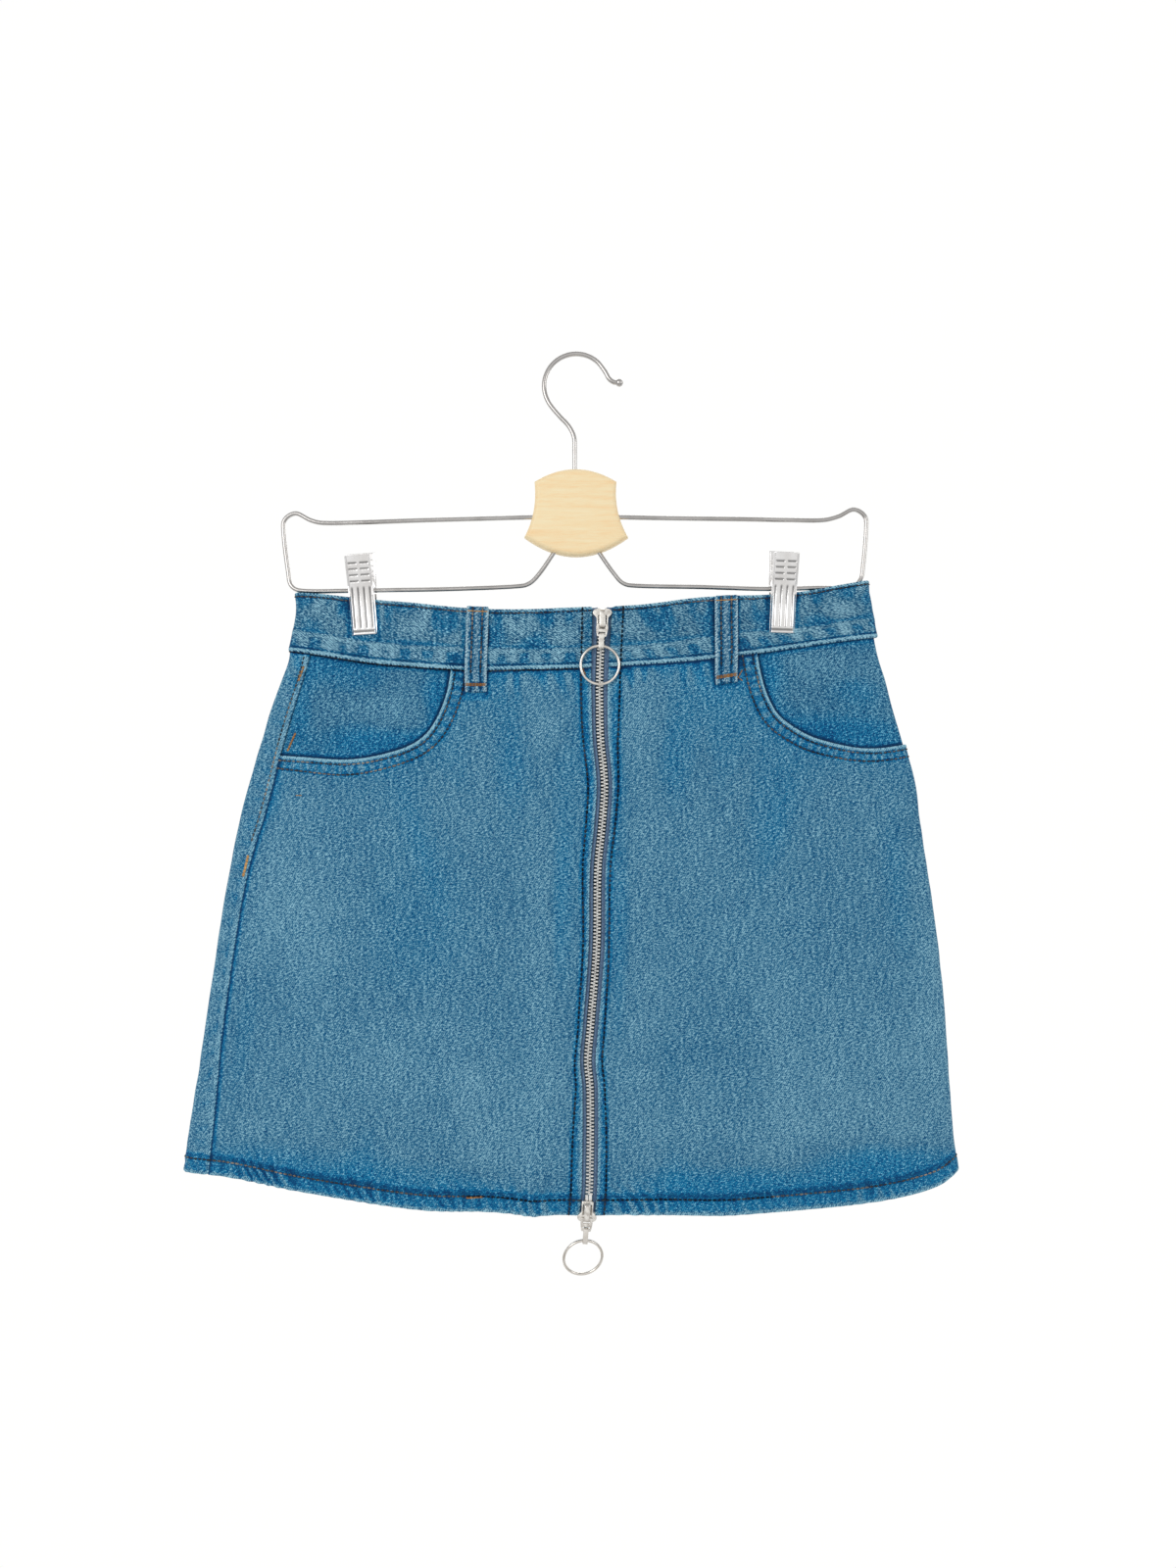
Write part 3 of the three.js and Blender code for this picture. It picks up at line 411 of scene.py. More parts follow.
def zip_edge(level, side, inset=0):
    """The angle of the cloth's folded edge at the zip, or of a line that far from it."""
    return front_angle(zip_x(level) + SIGN[side] * zip_gap(level) + SIGN[side] * inset, level)


def left_seam_angle(level, inset):
    return front_angle(read(LEFT_SEAM, 1, height_at(np.full_like(level, LEFT_SEAM_SHARE), level)) + inset, level)


def right_seam_angle(level, inset):
    return -np.arccos(1 - (RIGHT_WRAP - inset) / sides_at(level)[1])


def panel_sides(side, level, at_seam=SEAM_GAP / 2, at_zip=0):
    """The angles of a panel's two long edges, drawn in by that much at the seams and at the zip."""
    if side == "left":
        return zip_edge(level, side, at_zip), left_seam_angle(level, at_seam)
    if side == "right":
        return right_seam_angle(level, at_seam), zip_edge(level, side, at_zip)
    return left_seam_angle(level, -at_seam), 2 * math.pi + right_seam_angle(level, -at_seam)


def travelled(line):
    """How far along a line of places each of them lies."""
    return np.concatenate([[0], np.cumsum(np.linalg.norm(np.diff(line, axis=0), axis=1))])


def along(points, count):
    """That many places at even steps along a smooth line through the points."""
    points = np.array(points, float)
    key = np.concatenate([[0], np.cumsum(np.linalg.norm(np.diff(points, axis=0), axis=1) ** 0.5)])
    rows = [(k, *p) for k, p in zip(key, points)]
    fine = np.linspace(0, key[-1], 40 * len(points))
    line = np.stack([read(rows, c + 1, fine) for c in range(points.shape[1])], axis=1)
    length = travelled(line)
    steps = np.linspace(0, length[-1], count)
    return np.stack([np.interp(steps, length, line[:, c]) for c in range(points.shape[1])], axis=1)


ROUND_SIDE = (0.1, -0.4)  # angles round the right fold, where the right pocket's edge goes on


def pocket_edge(side):
    """The pocket's edge on the cloth, from the waistband seam out to the side seam."""
    line = along(POCKETS[side], 700)
    angle, level = on_front(line[:, 0], line[:, 1])
    if side == "left":
        inside = (level > PANEL_TOP) & (angle <= panel_sides(side, level)[1])
        return angle[inside], level[inside]
    keep = (angle > ROUND_SIDE[0]) & (level > PANEL_TOP)
    round_side = np.linspace(*ROUND_SIDE, 160)
    deep = np.full_like(round_side, level[keep][-1])
    for _ in range(8):
        middle, half = sides_at(deep)
        share = (1 + np.cos(round_side)) / 2
        target = np.interp(middle + half * np.cos(round_side), line[:, 0], line[:, 1])
        seam = read(EDGES, 2, share)
        deep = (target - seam) / (read(EDGES, 3, share) - seam)
    angle = np.concatenate([angle[keep], round_side[1:]])
    level = np.concatenate([level[keep], deep[1:]])
    inside = angle >= panel_sides(side, level)[0]
    return angle[inside], level[inside]


def top_edge(side):
    """A panel's top edge as angles and levels: the waistband seam, and the scoop of its pocket."""
    first, last = (edge[0] for edge in panel_sides(side, np.array([PANEL_TOP])))
    if side == "back":
        return np.linspace(first, last, 600), np.full(600, PANEL_TOP)
    angle, level = pocket_edge(side)
    if side == "left":
        seam = np.linspace(first, angle[0], 300)[:-1]
        return np.concatenate([seam, angle]), np.concatenate([np.full_like(seam, PANEL_TOP), level])
    seam = np.linspace(angle[0], last, 300)[1:]
    return np.concatenate([angle[::-1], seam]), np.concatenate([level[::-1], np.full_like(seam, PANEL_TOP)])


def even_steps(angle, level, count):
    """The same line on the cloth, at even steps of real length."""
    walked = travelled(cloth_middle(angle, level))
    steps = np.linspace(0, walked[-1], count)
    return np.array([np.interp(steps, walked, angle), np.interp(steps, walked, level)])


def patch(top, foot, first_side, last_side, downs):
    """A cut piece on the cloth between its four edges, as rows down and columns across."""
    across = np.linspace(0, 1, top.shape[1])[None, None, :]
    down = downs[None, :, None]
    first, last = first_side[:, :, None], last_side[:, :, None]
    corners = (
        (1 - across) * (1 - down) * top[:, None, :1] + across * (1 - down) * top[:, None, -1:]
        + (1 - across) * down * foot[:, None, :1] + across * down * foot[:, None, -1:]
    )
    return (1 - down) * top[:, None, :] + down * foot[:, None, :] + (1 - across) * first + across * last - corners


RIM_BULGE = 0.3  # how far a cut edge's middle stands out, and where it turns, as shares of the wall
RIM_TURNS = (0.22, 0.78)


def closed_sheet(name, outer, inner, uv=None, shade=None):
    """A thin closed shell between two grids of places, with its rim rounded. Places are in mm."""
    rows, columns = outer.shape[:2]
    number = np.arange(rows * columns).reshape(rows, columns)
    rim = np.concatenate([number[0, :-1], number[:-1, -1], number[-1, :0:-1], number[:0:-1, 0]])
    inward = np.concatenate([number[1, :-1], number[:-1, -2], number[-2, :0:-1], number[:0:-1, 1]])
    out_flat, in_flat = outer.reshape(-1, 3), inner.reshape(-1, 3)
    away = out_flat[rim] + in_flat[rim] - out_flat[inward] - in_flat[inward]
    away /= np.linalg.norm(away, axis=1, keepdims=True) + 1e-9
    wall = in_flat[rim] - out_flat[rim]
    bulge = RIM_BULGE * np.linalg.norm(wall, axis=1, keepdims=True) * away
    places = np.concatenate([out_flat, in_flat, *(out_flat[rim] + turn * wall + bulge for turn in RIM_TURNS)])
    count = rows * columns
    ring = len(rim)
    a, b, c, d = number[:-1, :-1].ravel(), number[:-1, 1:].ravel(), number[1:, 1:].ravel(), number[1:, :-1].ravel()
    after = np.roll(np.arange(ring), -1)
    chain = [rim, 2 * count + np.arange(ring), 2 * count + ring + np.arange(ring), count + rim]
    faces = [np.stack([a, b, c, d], 1), np.stack([a, d, c, b], 1) + count]
    for upper, lower in zip(chain[:-1], chain[1:]):
        faces.append(np.stack([upper, lower, lower[after], upper[after]], 1))
    faces = np.concatenate(faces)
    mesh = bpy.data.meshes.new(name)
    mesh.vertices.add(len(places))
    mesh.vertices.foreach_set("co", (places * MM).ravel())
    mesh.loops.add(faces.size)
    mesh.loops.foreach_set("vertex_index", faces.ravel().astype(np.int32))
    mesh.polygons.add(len(faces))
    mesh.polygons.foreach_set("loop_start", np.arange(0, faces.size, 4, dtype=np.int32))
    mesh.update(calc_edges=True)
    mesh.polygons.foreach_set("use_smooth", np.ones(len(faces), bool))
    if uv is not None:
        flat = uv.reshape(-1, 2)
        places_uv = np.concatenate([flat, flat, flat[rim], flat[rim]])
        layer = mesh.uv_layers.new(name="cloth")
        layer.data.foreach_set("uv", (places_uv[faces.ravel()] * MM).ravel())
    # the outer face and rim carry each place's value: worn paleness above zero, painted shade below it; the inner face
    # carries none
    if shade is not None:
        flat = shade.ravel()
        values = np.concatenate([flat, flat * 0, flat[rim], flat[rim] * 0.3])
        wear_and_shade = mesh.attributes.new("wear_and_shade", "FLOAT", "POINT")
        wear_and_shade.data.foreach_set("value", values.astype(np.float32))
    mesh.validate()
    return set_in_scene(name, mesh)


def paint(red, green, blue):
    """A colour as the eye reads it, 0 to 255, turned to the light it gives back."""
    shares = [c / 255 for c in (red, green, blue)]
    return tuple(s / 12.92 if s < 0.04045 else ((s + 0.055) / 1.055) ** 2.4 for s in shares) + (1,)


def calculate(tree, operation, first, second=0.0, third=0.0):
    return put(tree, "ShaderNodeMath", {0: first, 1: second, 2: third}, operation=operation).outputs[0]


def uneven_face(tree, height, strength, distance):
    """The fine relief of a finish."""
    return put(tree, "ShaderNodeBump", {"Strength": strength, "Distance": distance, "Height": height}).outputs[0]


RIB_PITCH = 1.18


def denim(name, dark, deep, middle, pale, twill_degrees, contrast=1.0):
    """Worn twill: diagonal ribs, heathered yarns and soft patches, worn pale or kept dark by "wear", which also
    carries painted shade and painted highlights.
    """
    finish, tree = new_finish(name)
    cloth = put(tree, "ShaderNodeUVMap", uv_map="cloth").outputs[0]
    lean = (0, 0, -math.radians(twill_degrees))
    ribs_at = put(tree, "ShaderNodeMapping", {0: cloth, "Rotation": lean, "Scale": (1000, 1000, 1)}).outputs[0]
    across = put(tree, "ShaderNodeSeparateXYZ", {0: ribs_at}).outputs["Y"]
    bent = calculate(tree, "MULTIPLY_ADD", noise(tree, ribs_at, scale=0.35), 2.2, across)
    ribs = calculate(tree, "SINE", calculate(tree, "MULTIPLY", bent, 2 * math.pi / RIB_PITCH))
    yarn = noise(tree, cloth, detail=3.0, roughness=0.65, stretch=(480, 1350, 1), turn=lean)
    heather = noise(tree, cloth, detail=2.5, stretch=(760, 600, 1))
    patches = noise(tree, cloth, detail=3.0, stretch=(28, 17, 1))
    slubs = noise(tree, cloth, stretch=(600, 62, 1))
    parts = [(yarn, 2.2), (heather, 1.0), (patches, 0.14), (slubs, 0.45)]
    # the ribs show more where the value is above zero: on worn edges, and under painted highlights on ridges
    wear_and_shade = put(tree, "ShaderNodeAttribute", attribute_name="wear_and_shade").outputs["Fac"]
    worn = calculate(tree, "MINIMUM", calculate(tree, "MAXIMUM", wear_and_shade, 0.0), 1.0)
    rib_depth = calculate(tree, "MULTIPLY_ADD", worn, 0.34, 0.12 * contrast)
    balance = 0.5 - 0.5 * sum(strength for _, strength in parts) * contrast
    tone = calculate(tree, "MULTIPLY_ADD", ribs, rib_depth, balance)
    for part, strength in parts:
        tone = calculate(tree, "MULTIPLY_ADD", part, strength * contrast, tone)
    tone = calculate(tree, "MULTIPLY_ADD", wear_and_shade, 0.42, tone)
    colour = ramp(tree, tone, [(0.0, dark), (0.32, deep), (0.5, middle), (1.0, pale)])
    # below zero, cloth that the wash didn't reach and painted shade keep a clearer blue; deeper painted shade, in
    # seams, grooves and under edges, is dark
    hidden = calculate(tree, "MULTIPLY", calculate(tree, "MINIMUM", wear_and_shade, 0.0), -1.0)
    unworn_and_shaded = calculate(tree, "MINIMUM", hidden, 0.35)
    deep_shade = calculate(tree, "MAXIMUM", calculate(tree, "SUBTRACT", hidden, 0.55), 0.0)
    darkened = calculate(tree, "MULTIPLY_ADD", calculate(tree, "MINIMUM", deep_shade, 1.0), -0.55, 1.0)
    colour = put(tree, "ShaderNodeHueSaturation", {
        "Color": colour, "Saturation": calculate(tree, "MULTIPLY_ADD", unworn_and_shaded, 0.36, 1.0),
        "Value": calculate(tree, "MULTIPLY_ADD", unworn_and_shaded, 0.8, darkened),
    }).outputs[0]
    depth = calculate(tree, "MULTIPLY_ADD", ribs, 0.5, calculate(tree, "MULTIPLY", yarn, 1.6))
    surface(tree, {
        "Base Color": colour, "Roughness": 0.92, "Normal": uneven_face(tree, depth, 0.55, 0.00022),
        "Specular IOR Level": 0.18, "Sheen Weight": 0.08, "Sheen Roughness": 0.5,
    })
    return finish


def girth(places, side):
    """How far round the cloth each place lies, measured along its row from the zip."""
    step = np.linalg.norm(np.diff(places[..., :2], axis=1), axis=-1)
    walked = np.concatenate([np.zeros((len(places), 1)), np.cumsum(step, axis=1)], axis=1)
    if side == "right":
        return places[:, -1:, 0] - (walked - walked[:, -1:])
    return places[:, :1, 0] - walked


def how_far(x, z, line):
    """Distance from a drawn line, and how far along it."""
    near = np.full(x.shape, 1e9)
    place = np.zeros(x.shape)
    for (px, pz), s in zip(line, travelled(line)):
        away = np.hypot(x - px, z - pz)
        place = np.where(away < near, s, place)
        near = np.minimum(near, away)
    return near, place


ZIP_ROWS = [
    # height, from the zip's middle to the left and to the right row of stitches
    (-168, 13.0, 13.8), (-180, 12.8, 13.7), (-235, 11.8, 12.9), (-278, 10.9, 9.4), (-315, 10.4, 8.5),
    (-380, 9.0, 8.0), (-422, 8.5, 8.8), (-454, 8.1, 9.4), (-485, 9.6, 9.6), (-514, 11.5, 10.4),
    (-563, 12.0, 10.9),
]
POCKET_ROWS = {
    # way along the pocket's edge, from the edge to the outer row of stitches
    "left": [(0, 9.6), (40, 9.3), (75, 8.6), (120, 9.5), (170, 7.3)],
    "right": [(0, 9.8), (45, 9.6), (75, 8.8), (110, 8.0), (160, 7.6)],
}
POCKET_LINES = {side: along(points, 260) for side, points in POCKETS.items()}
INNER_ROW = 2.7


def beside_zip(z, side):
    """How far the topstitch runs from the zip's middle."""
    return read(ZIP_ROWS, 1 if side == "left" else 2, z)


def second_row(walked, side):
    """The pocket's outer row of stitches, by the way walked along its edge."""
    return read(POCKET_ROWS[side], 1, walked)


def lines(far, rows):
    """Soft ridges, or grooves below zero, beside an edge: place, half width and height of each."""
    return sum(height * bump(far - place, width) for place, width, height in rows)


# Lines of worn paleness, painted shade and relief beside the seams and edges, in mm from each; dark and sunk below
# zero. The dark lines are painted shade: under the waistband, in stitch grooves and beside raised edges; the pale ones
# are worn and raised edges.
WAIST_SHADE = [(0, 1.7, -2.4), (0, 6, -0.3)]
HEM_WEAR_AND_SHADE = [(0, 1.4, 1.0), (HEM_HEIGHT, 0.9, -0.5), (HEM_HEIGHT + 2.4, 1.9, -0.75)]
SEAM_RELIEF = [(1.2, 1.5, 0.45), (3.1, 0.7, -0.2)]
SEAM_WEAR_AND_SHADE = [(1.2, 1.5, 0.5), (3.1, 0.7, -0.4)]
ZIP_ROW_SHADE = [(0, 1.2, -1.1), (-2.6, 1.6, -0.3)]
LIP_RELIEF = [(0.9, 0.9, 0.34), (INNER_ROW, 0.7, -0.3)]
LIP_WEAR_AND_SHADE = [(0.4, 0.9, 1.6), (INNER_ROW, 0.9, -0.9)]
LOOP_REACH = 7.4  # from a belt loop's middle to the dark line beside it, and down to the one below
LOOP_HANG = 17.6


def waist_relief(x, z, front, below_band):
    """A little gathered under the waistband, with painted light and shade on the gathers, and painted shade under the
    band and round the belt loops' feet.
    """
    gather = np.sin(x * 0.47 + z * 0.1 + 4.2 * unevenness(x, z * 0.2, 27, 8)) * bump(below_band, 13)
    gather = gather * (0.5 + 0.7 * unevenness(x, z * 0.1, 44, 9))
    shade = 0.75 * gather * ease(below_band, 0, 4) + lines(below_band, WAIST_SHADE)
    for loop_x in LOOP_PLACES:
        beside_loop = np.abs(x - loop_x) - LOOP_REACH
        shade = shade - 1.0 * front * bump(beside_loop, 1.3) * ease(below_band, 18, 16)
        shade = shade - 0.8 * front * bump(below_band - LOOP_HANG, 1.4) * ease(beside_loop, 1, 0)
    return 0.4 * gather, shade


def hem_relief(x, z, over_hem):
    """Turned up twice and stitched, the hem ropes into slanting ridges that trail off above it; the ridges are worn
    pale, the troughs between them darker with painted shade, and there is painted shade in the stitch groove and just
    above the stitches.
    """
    rope = np.sin(2 * math.pi * (x * 0.118 + over_hem * 0.055) + 3.2 * unevenness(x, z, 29, 11))
    rope = rope * (0.55 + 0.7 * unevenness(x, z * 0.2, 43, 12))
    in_hem = 1 - ease(over_hem, HEM_HEIGHT - 0.6, HEM_HEIGHT + 0.8)
    trailing = in_hem + (1 - in_hem) * 0.55 * bump(over_hem - HEM_HEIGHT, 7)
    face = 0.32 * in_hem + 0.42 * rope * trailing - 0.34 * bump(over_hem - HEM_HEIGHT, 0.9)
    return face, 0.6 * rope * trailing - 0.28 * in_hem + lines(over_hem, HEM_WEAR_AND_SHADE)


def side_seam_relief(x, z, angle, front):
    """The left side seam's raised edge with its row of stitches, pale along the edge, with painted shade in the stitch
    groove and on its puckers; the side folds are a little worn.
    """
    beside = np.abs(x - read(LEFT_SEAM, 1, z))
    knots = np.sin(z * 0.47 + 4 * unevenness(x, z, 33, 21))
    face = front * (lines(beside, SEAM_RELIEF) + 0.12 * knots * bump(beside - 4, 5))
    shade = front * (lines(beside, SEAM_WEAR_AND_SHADE) + 0.15 * knots * bump(beside - 5, 7))
    return face, shade + 0.2 * (1 - ease(np.abs(np.sin(angle)), 0.02, 0.22))


def zip_relief(x, z, level, front, side):
    """The folded edge at the zip, stitched down beside it and tugged by the stitches; the edge is worn pale, with
    painted shade in the stitch groove and on the tugs.
    """
    beside = SIGN[side] * (x - zip_x(level))
    edge = beside - zip_gap(level)
    row = beside - beside_zip(z, side)
    doubled = 1 - ease(row, -0.4, 1.6)
    tugs = np.sin(z * 0.83 + 2.4 * unevenness(x * 0.3, z, 37, 31))
    face = 0.34 * doubled + 0.13 * tugs * bump(row, 3.5) - 0.3 * bump(row, 0.8)
    shade = 0.75 * bump(edge, 1.0) + 0.22 * tugs * bump(row + 1.0, 3.0) + lines(row, ZIP_ROW_SHADE)
    return face * front, shade * front


def pocket_relief(x, z, side):
    """The pocket's lip: turned under, stitched twice, puckered between the rows; the lip is worn pale, with painted
    shade in both stitch grooves and on the puckers.
    """
    far, walked = how_far(x, z, POCKET_LINES[side])
    outer_row = second_row(walked, side)
    doubled = 1 - ease(far, outer_row + 0.2, outer_row + 1.6)
    pucker = np.sin(2 * math.pi * walked / 5.6 + 2.2 * unevenness(walked, far * 0.2, 30, 41))
    between = bump(far - 0.5 * (outer_row + 2.6), 0.42 * outer_row)
    face = 0.36 * doubled + lines(far, LIP_RELIEF) + 0.17 * pucker * between - 0.3 * bump(far - outer_row, 0.8)
    shade = lines(far, LIP_WEAR_AND_SHADE) + (0.5 * pucker - 0.1) * between - 0.9 * bump(far - outer_row, 1.0)
    return face, shade


def panel_relief(angle, level, side, lip=True):
    """How far the whole cloth bends away, how far its face stands out, and its worn paleness and painted shade."""
    place = cloth_middle(angle, level)
    x, z = place[..., 0], place[..., 2]
    front = np.sin(angle) > 0
    below_band = level * SKIRT_LENGTH
    over_hem = (1 - level) * SKIRT_LENGTH
    creases = fold_rise(CREASES, front, x, z)
    whole = creases + 0.22 * unevenness(x, z, 46, 3) + 0.12 * unevenness(x, z, 19, 5)
    whole = whole * ease(below_band, -2, 22) * (0.35 + 0.65 * ease(over_hem, 0, 26))
    # painted light and shade along the creases, fading in below the waistband
    parts = [(0, 0.25 * creases * ease(below_band, 0, 20)), waist_relief(x, z, front, below_band)]
    parts.append(hem_relief(x, z, over_hem))
    if side == "back":
        parts.append(side_seam_relief(x, z, angle, front))
    else:
        parts.append(zip_relief(x, z, level, front, side))
    if side != "back" and lip:
        parts.append(pocket_relief(x, z, side))
    if side == "left":
        # painted shadow beside the left side seam's raised edge, over a slight groove
        beside_seam = np.abs(x - read(LEFT_SEAM, 1, z))
        parts.append((-0.2 * bump(beside_seam, 1.6) * front, -1.7 * bump(beside_seam, 2.0) * front))
    return whole, sum(face for face, _ in parts), sum(shade for _, shade in parts)


def toned(shade, x, z, areas):
    """Adds larger areas painted darker or paler, below and above zero: the wash's uneven fading together with painted
    light and shade.
    """
    for ax, az, wide, high, depth in areas:
        shade = shade + depth * np.exp(-(((x - ax) / wide) ** 2) - ((z - az) / high) ** 2)
    return shade


# the wash's fading and painted light and shade together: darker under the waistband, at the hem and round the right
# loop, paler lower down and along the right side
FRONT_AREAS = [
    # across, height, half width, half height, how much paler (or darker, below zero)
    (-205, -533, 46, 13, -0.26), (-140, -545, 60, 15, -0.29), (-60, -552, 42, 13, -0.27),
    (-32, -531, 9, 26, 0.16), (-105, -385, 38, 58, -0.08), (-178, -356, 26, 62, 0.19),
    (-200, -290, 8, 22, -0.21), (-60, -250, 26, 20, 0.09), (-18, -243, 16, 22, 0.28), (-8, -350, 9, 90, -0.08),
    (-22, -400, 10, 130, 0.12), (42, -238, 17, 26, 0.34), (28, -330, 7, 72, -0.10), (44, -360, 12, 110, 0.11),
    (97, -205, 22, 22, -0.24), (80, -330, 30, 60, 0.07), (120, -300, 26, 30, -0.07), (150, -420, 48, 60, 0.06),
    (100, -468, 44, 34, -0.10), (62, -500, 30, 24, 0.10), (120, -545, 66, 11, -0.42), (205, -532, 44, 12, -0.50),
    (236, -430, 18, 90, 0.24), (170, -490, 34, 40, 0.10), (60, -545, 26, 12, -0.09), (180, -300, 26, 26, 0.06),
    (-120, -470, 36, 30, 0.07), (0, -244, 330, 40, -0.13), (0, -480, 300, 60, 0.10),
]
BACK_AREAS = [
    (0, -548, 200, 14, -0.27), (-90, -320, 46, 70, 0.12), (84, -330, 44, 66, 0.12), (0, -300, 30, 60, -0.11),
    (-60, -440, 40, 60, -0.09), (150, -430, 46, 70, 0.07), (30, -470, 44, 50, 0.08), (0, -212, 180, 7, -0.21),
    (-190, -420, 26, 90, 0.06), (-236, -420, 10, 90, 0.07),
]


def cut_panel(name, side, columns, rows):
    """One skirt panel, from its top edge (seam and pocket) down to the hem."""
    downs = np.concatenate([
        np.linspace(0, 0.045, 15)[:-1], np.linspace(0.045, 0.955, rows)[:-1], np.linspace(0.955, 1, 18),
    ])
    top = even_steps(*top_edge(side), columns)
    ends = [edge[0] for edge in panel_sides(side, np.ones(1))]
    foot = even_steps(np.linspace(*ends, 400), np.ones(400), columns)
    first_level = top[1, 0] + (1 - top[1, 0]) * downs
    last_level = top[1, -1] + (1 - top[1, -1]) * downs
    first = np.array([panel_sides(side, first_level)[0], first_level])
    last = np.array([panel_sides(side, last_level)[1], last_level])
    angle, level = patch(top, foot, first, last, downs)
    whole, face, shade = panel_relief(angle, level, side)
    outer = stand_off(angle, level, DENIM / 2 + whole + face)
    # the hem is thicker by its two turns, but for a stretch beside the zip
    near_zip = np.where(np.sin(angle) > 0, np.abs(outer[..., 0] - zip_x(level)), 200)
    turned = ease((1 - level) * SKIRT_LENGTH, HEM_HEIGHT + 1, HEM_HEIGHT) * ease(near_zip, 27, 34)
    inner = stand_off(angle, level, -DENIM / 2 + whole * 0.6 - (HEM_WALL - DENIM) * turned)
    uv = np.stack([girth(outer, side), outer[..., 2]], axis=-1)
    shade = toned(shade, outer[..., 0], outer[..., 2], BACK_AREAS if side == "back" else FRONT_AREAS)
    return closed_sheet(name, outer, inner, uv, shade)


def finish_piece(piece, body, finish, nodes):
    """Gives a piece its material and says what it rides on and which solids it stands for."""
    piece.data.materials.clear()
    piece.data.materials.append(finish)
    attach(piece, body)
    if nodes:
        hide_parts(*nodes)


panel_denim = denim(
    "panel_denim", paint(0, 60, 109), paint(27, 103, 146), paint(58, 119, 151), paint(150, 200, 219), 58, 1.2,
)

front_left = cut_panel("denim_front_left", "left", 150, 130)
finish_piece(front_left, "body", panel_denim, ["front_left"])
front_right = cut_panel("denim_front_right", "right", 156, 130)
finish_piece(front_right, "body", panel_denim, ["front_right"])


# Back panel. The same denim in one piece; it runs round the left fold, so that the left side
# seam lies on the front, where its raised edge is stitched down as far as the hip.
back_piece = cut_panel("denim_back", "back", 230, 112)
finish_piece(back_piece, "body", panel_denim, ["back_panel"])


# Pocket facings. A second piece of the same denim behind each scooped opening, unworn and a
# little darker where the pocket's mouth shades it; its hidden edges stop behind the panel.
FACING_AREAS = [
    (-160, -203, 30, 10, -0.32), (-140, -258, 50, 10, -0.42), (-92, -230, 8, 22, -0.35), (-182, -232, 8, 26, -0.25),
    (-130, -232, 26, 14, 0.12), (172, -250, 36, 10, -0.45), (127, -214, 8, 24, -0.35), (170, -205, 26, 10, 0.18),
    (190, -228, 14, 18, -0.10), (150, -232, 20, 10, -0.15),
]
FACING_DEPTH = 0.3105  # the level of its foot
FACING_START = {"left": 7 / 22, "right": 6 / 27}  # its hidden edge, as a share from the zip to the seam
MOUTH_SHADOW = [(0.4, 1.9, -1.9)]
facing_denim = denim(
    "facing_denim", paint(0, 56, 102), paint(18, 94, 138), paint(42, 108, 143), paint(134, 188, 210), 58, 1.35,
)


def pocket_facing(side):
    level = np.linspace(PANEL_TOP, FACING_DEPTH, 62)
    first, last = panel_sides(side, level)
    if side == "left":
        first = first + (last - first) * FACING_START[side]
    else:
        last = last + (first - last) * FACING_START[side]
    rows = [even_steps(np.linspace(a, b, 200), np.full(200, lv), 92) for a, b, lv in zip(first, last, level)]
    angle, level = np.array(rows).transpose(1, 0, 2)
    middle = cloth_middle(angle, level)
    x, z = middle[..., 0], middle[..., 2]
    slack = 0.12 * unevenness(x, z, 26, 61)
    outer = stand_off(angle, level, -DENIM / 2 - SEAM_GAP + np.minimum(slack, 0.04))
    inner = stand_off(angle, level, -1.5 * DENIM - SEAM_GAP + slack)
    under_lip, _ = how_far(x, z, POCKET_LINES[side])
    # painted shade under the waistband seam and under the pocket's lip; the uneven tone is the wash's
    shade = 0.12 * unevenness(x, z, 40, 62) - 1.2 * bump(level * SKIRT_LENGTH, 2.2) + lines(under_lip, MOUTH_SHADOW)
    uv = np.stack([girth(outer, side), z], axis=-1)
    piece = closed_sheet("denim_facing_" + side, outer, inner, uv, toned(shade, x, z, FACING_AREAS))
    finish_piece(piece, "body", facing_denim, ["pocket_facing_" + side])


pocket_facing("left")
pocket_facing("right")


# Waistband. One strip of denim cut across, so that its ribs lean the other way, folded over
# and stitched down. The seam allowances inside it print through as soft squares.
BAND_WALL = 2.4
BAND_INNER = -0.75
BAND_OUTER = BAND_INNER + BAND_WALL
BAND_AREAS = [
    (-170, -188, 26, 10, 0.18), (-66, -192, 20, 16, -0.15), (-32, -192, 12, 14, -0.12), (56, -178, 20, 10, -0.25),
    (98, -180, 15, 16, -0.35), (158, -172, 24, 8, 0.15), (178, -176, 14, 8, -0.12), (-12, -186, 12, 14, 0.10),
    (40, -192, 14, 8, 0.12), (-110, -176, 22, 8, 0.12),
]
# lines along the band, by their height over its seam: the rolled foot and the stitches at the top; worn pale at the
# rolled edges, with painted shade above the foot and in the top stitches
BAND_RELIEF = [(37.8, 0.9, 0.12), (1.0, 0.8, 0.16), (36.2, 0.8, -0.3)]
BAND_WEAR_AND_SHADE = [(37.8, 0.9, 0.8), (1.0, 0.8, 1.6), (2.6, 0.7, -1.3), (36.2, 0.9, -0.9)]
SQUARE_PITCH = 15.2
RIDGE = 11.5
SHADOWS = [(x, 7.6, True) for x in LOOP_PLACES] + [(x, 9.8, False) for x in CLIP_PLACES]
CLIP_SHADOW = (12, 14)  # heights over the seam between which the shade beside a clip begins
band_denim = denim(
    "waistband_denim", paint(0, 52, 96), paint(20, 92, 133), paint(46, 105, 136), paint(152, 200, 218), -33, 1.35,
)

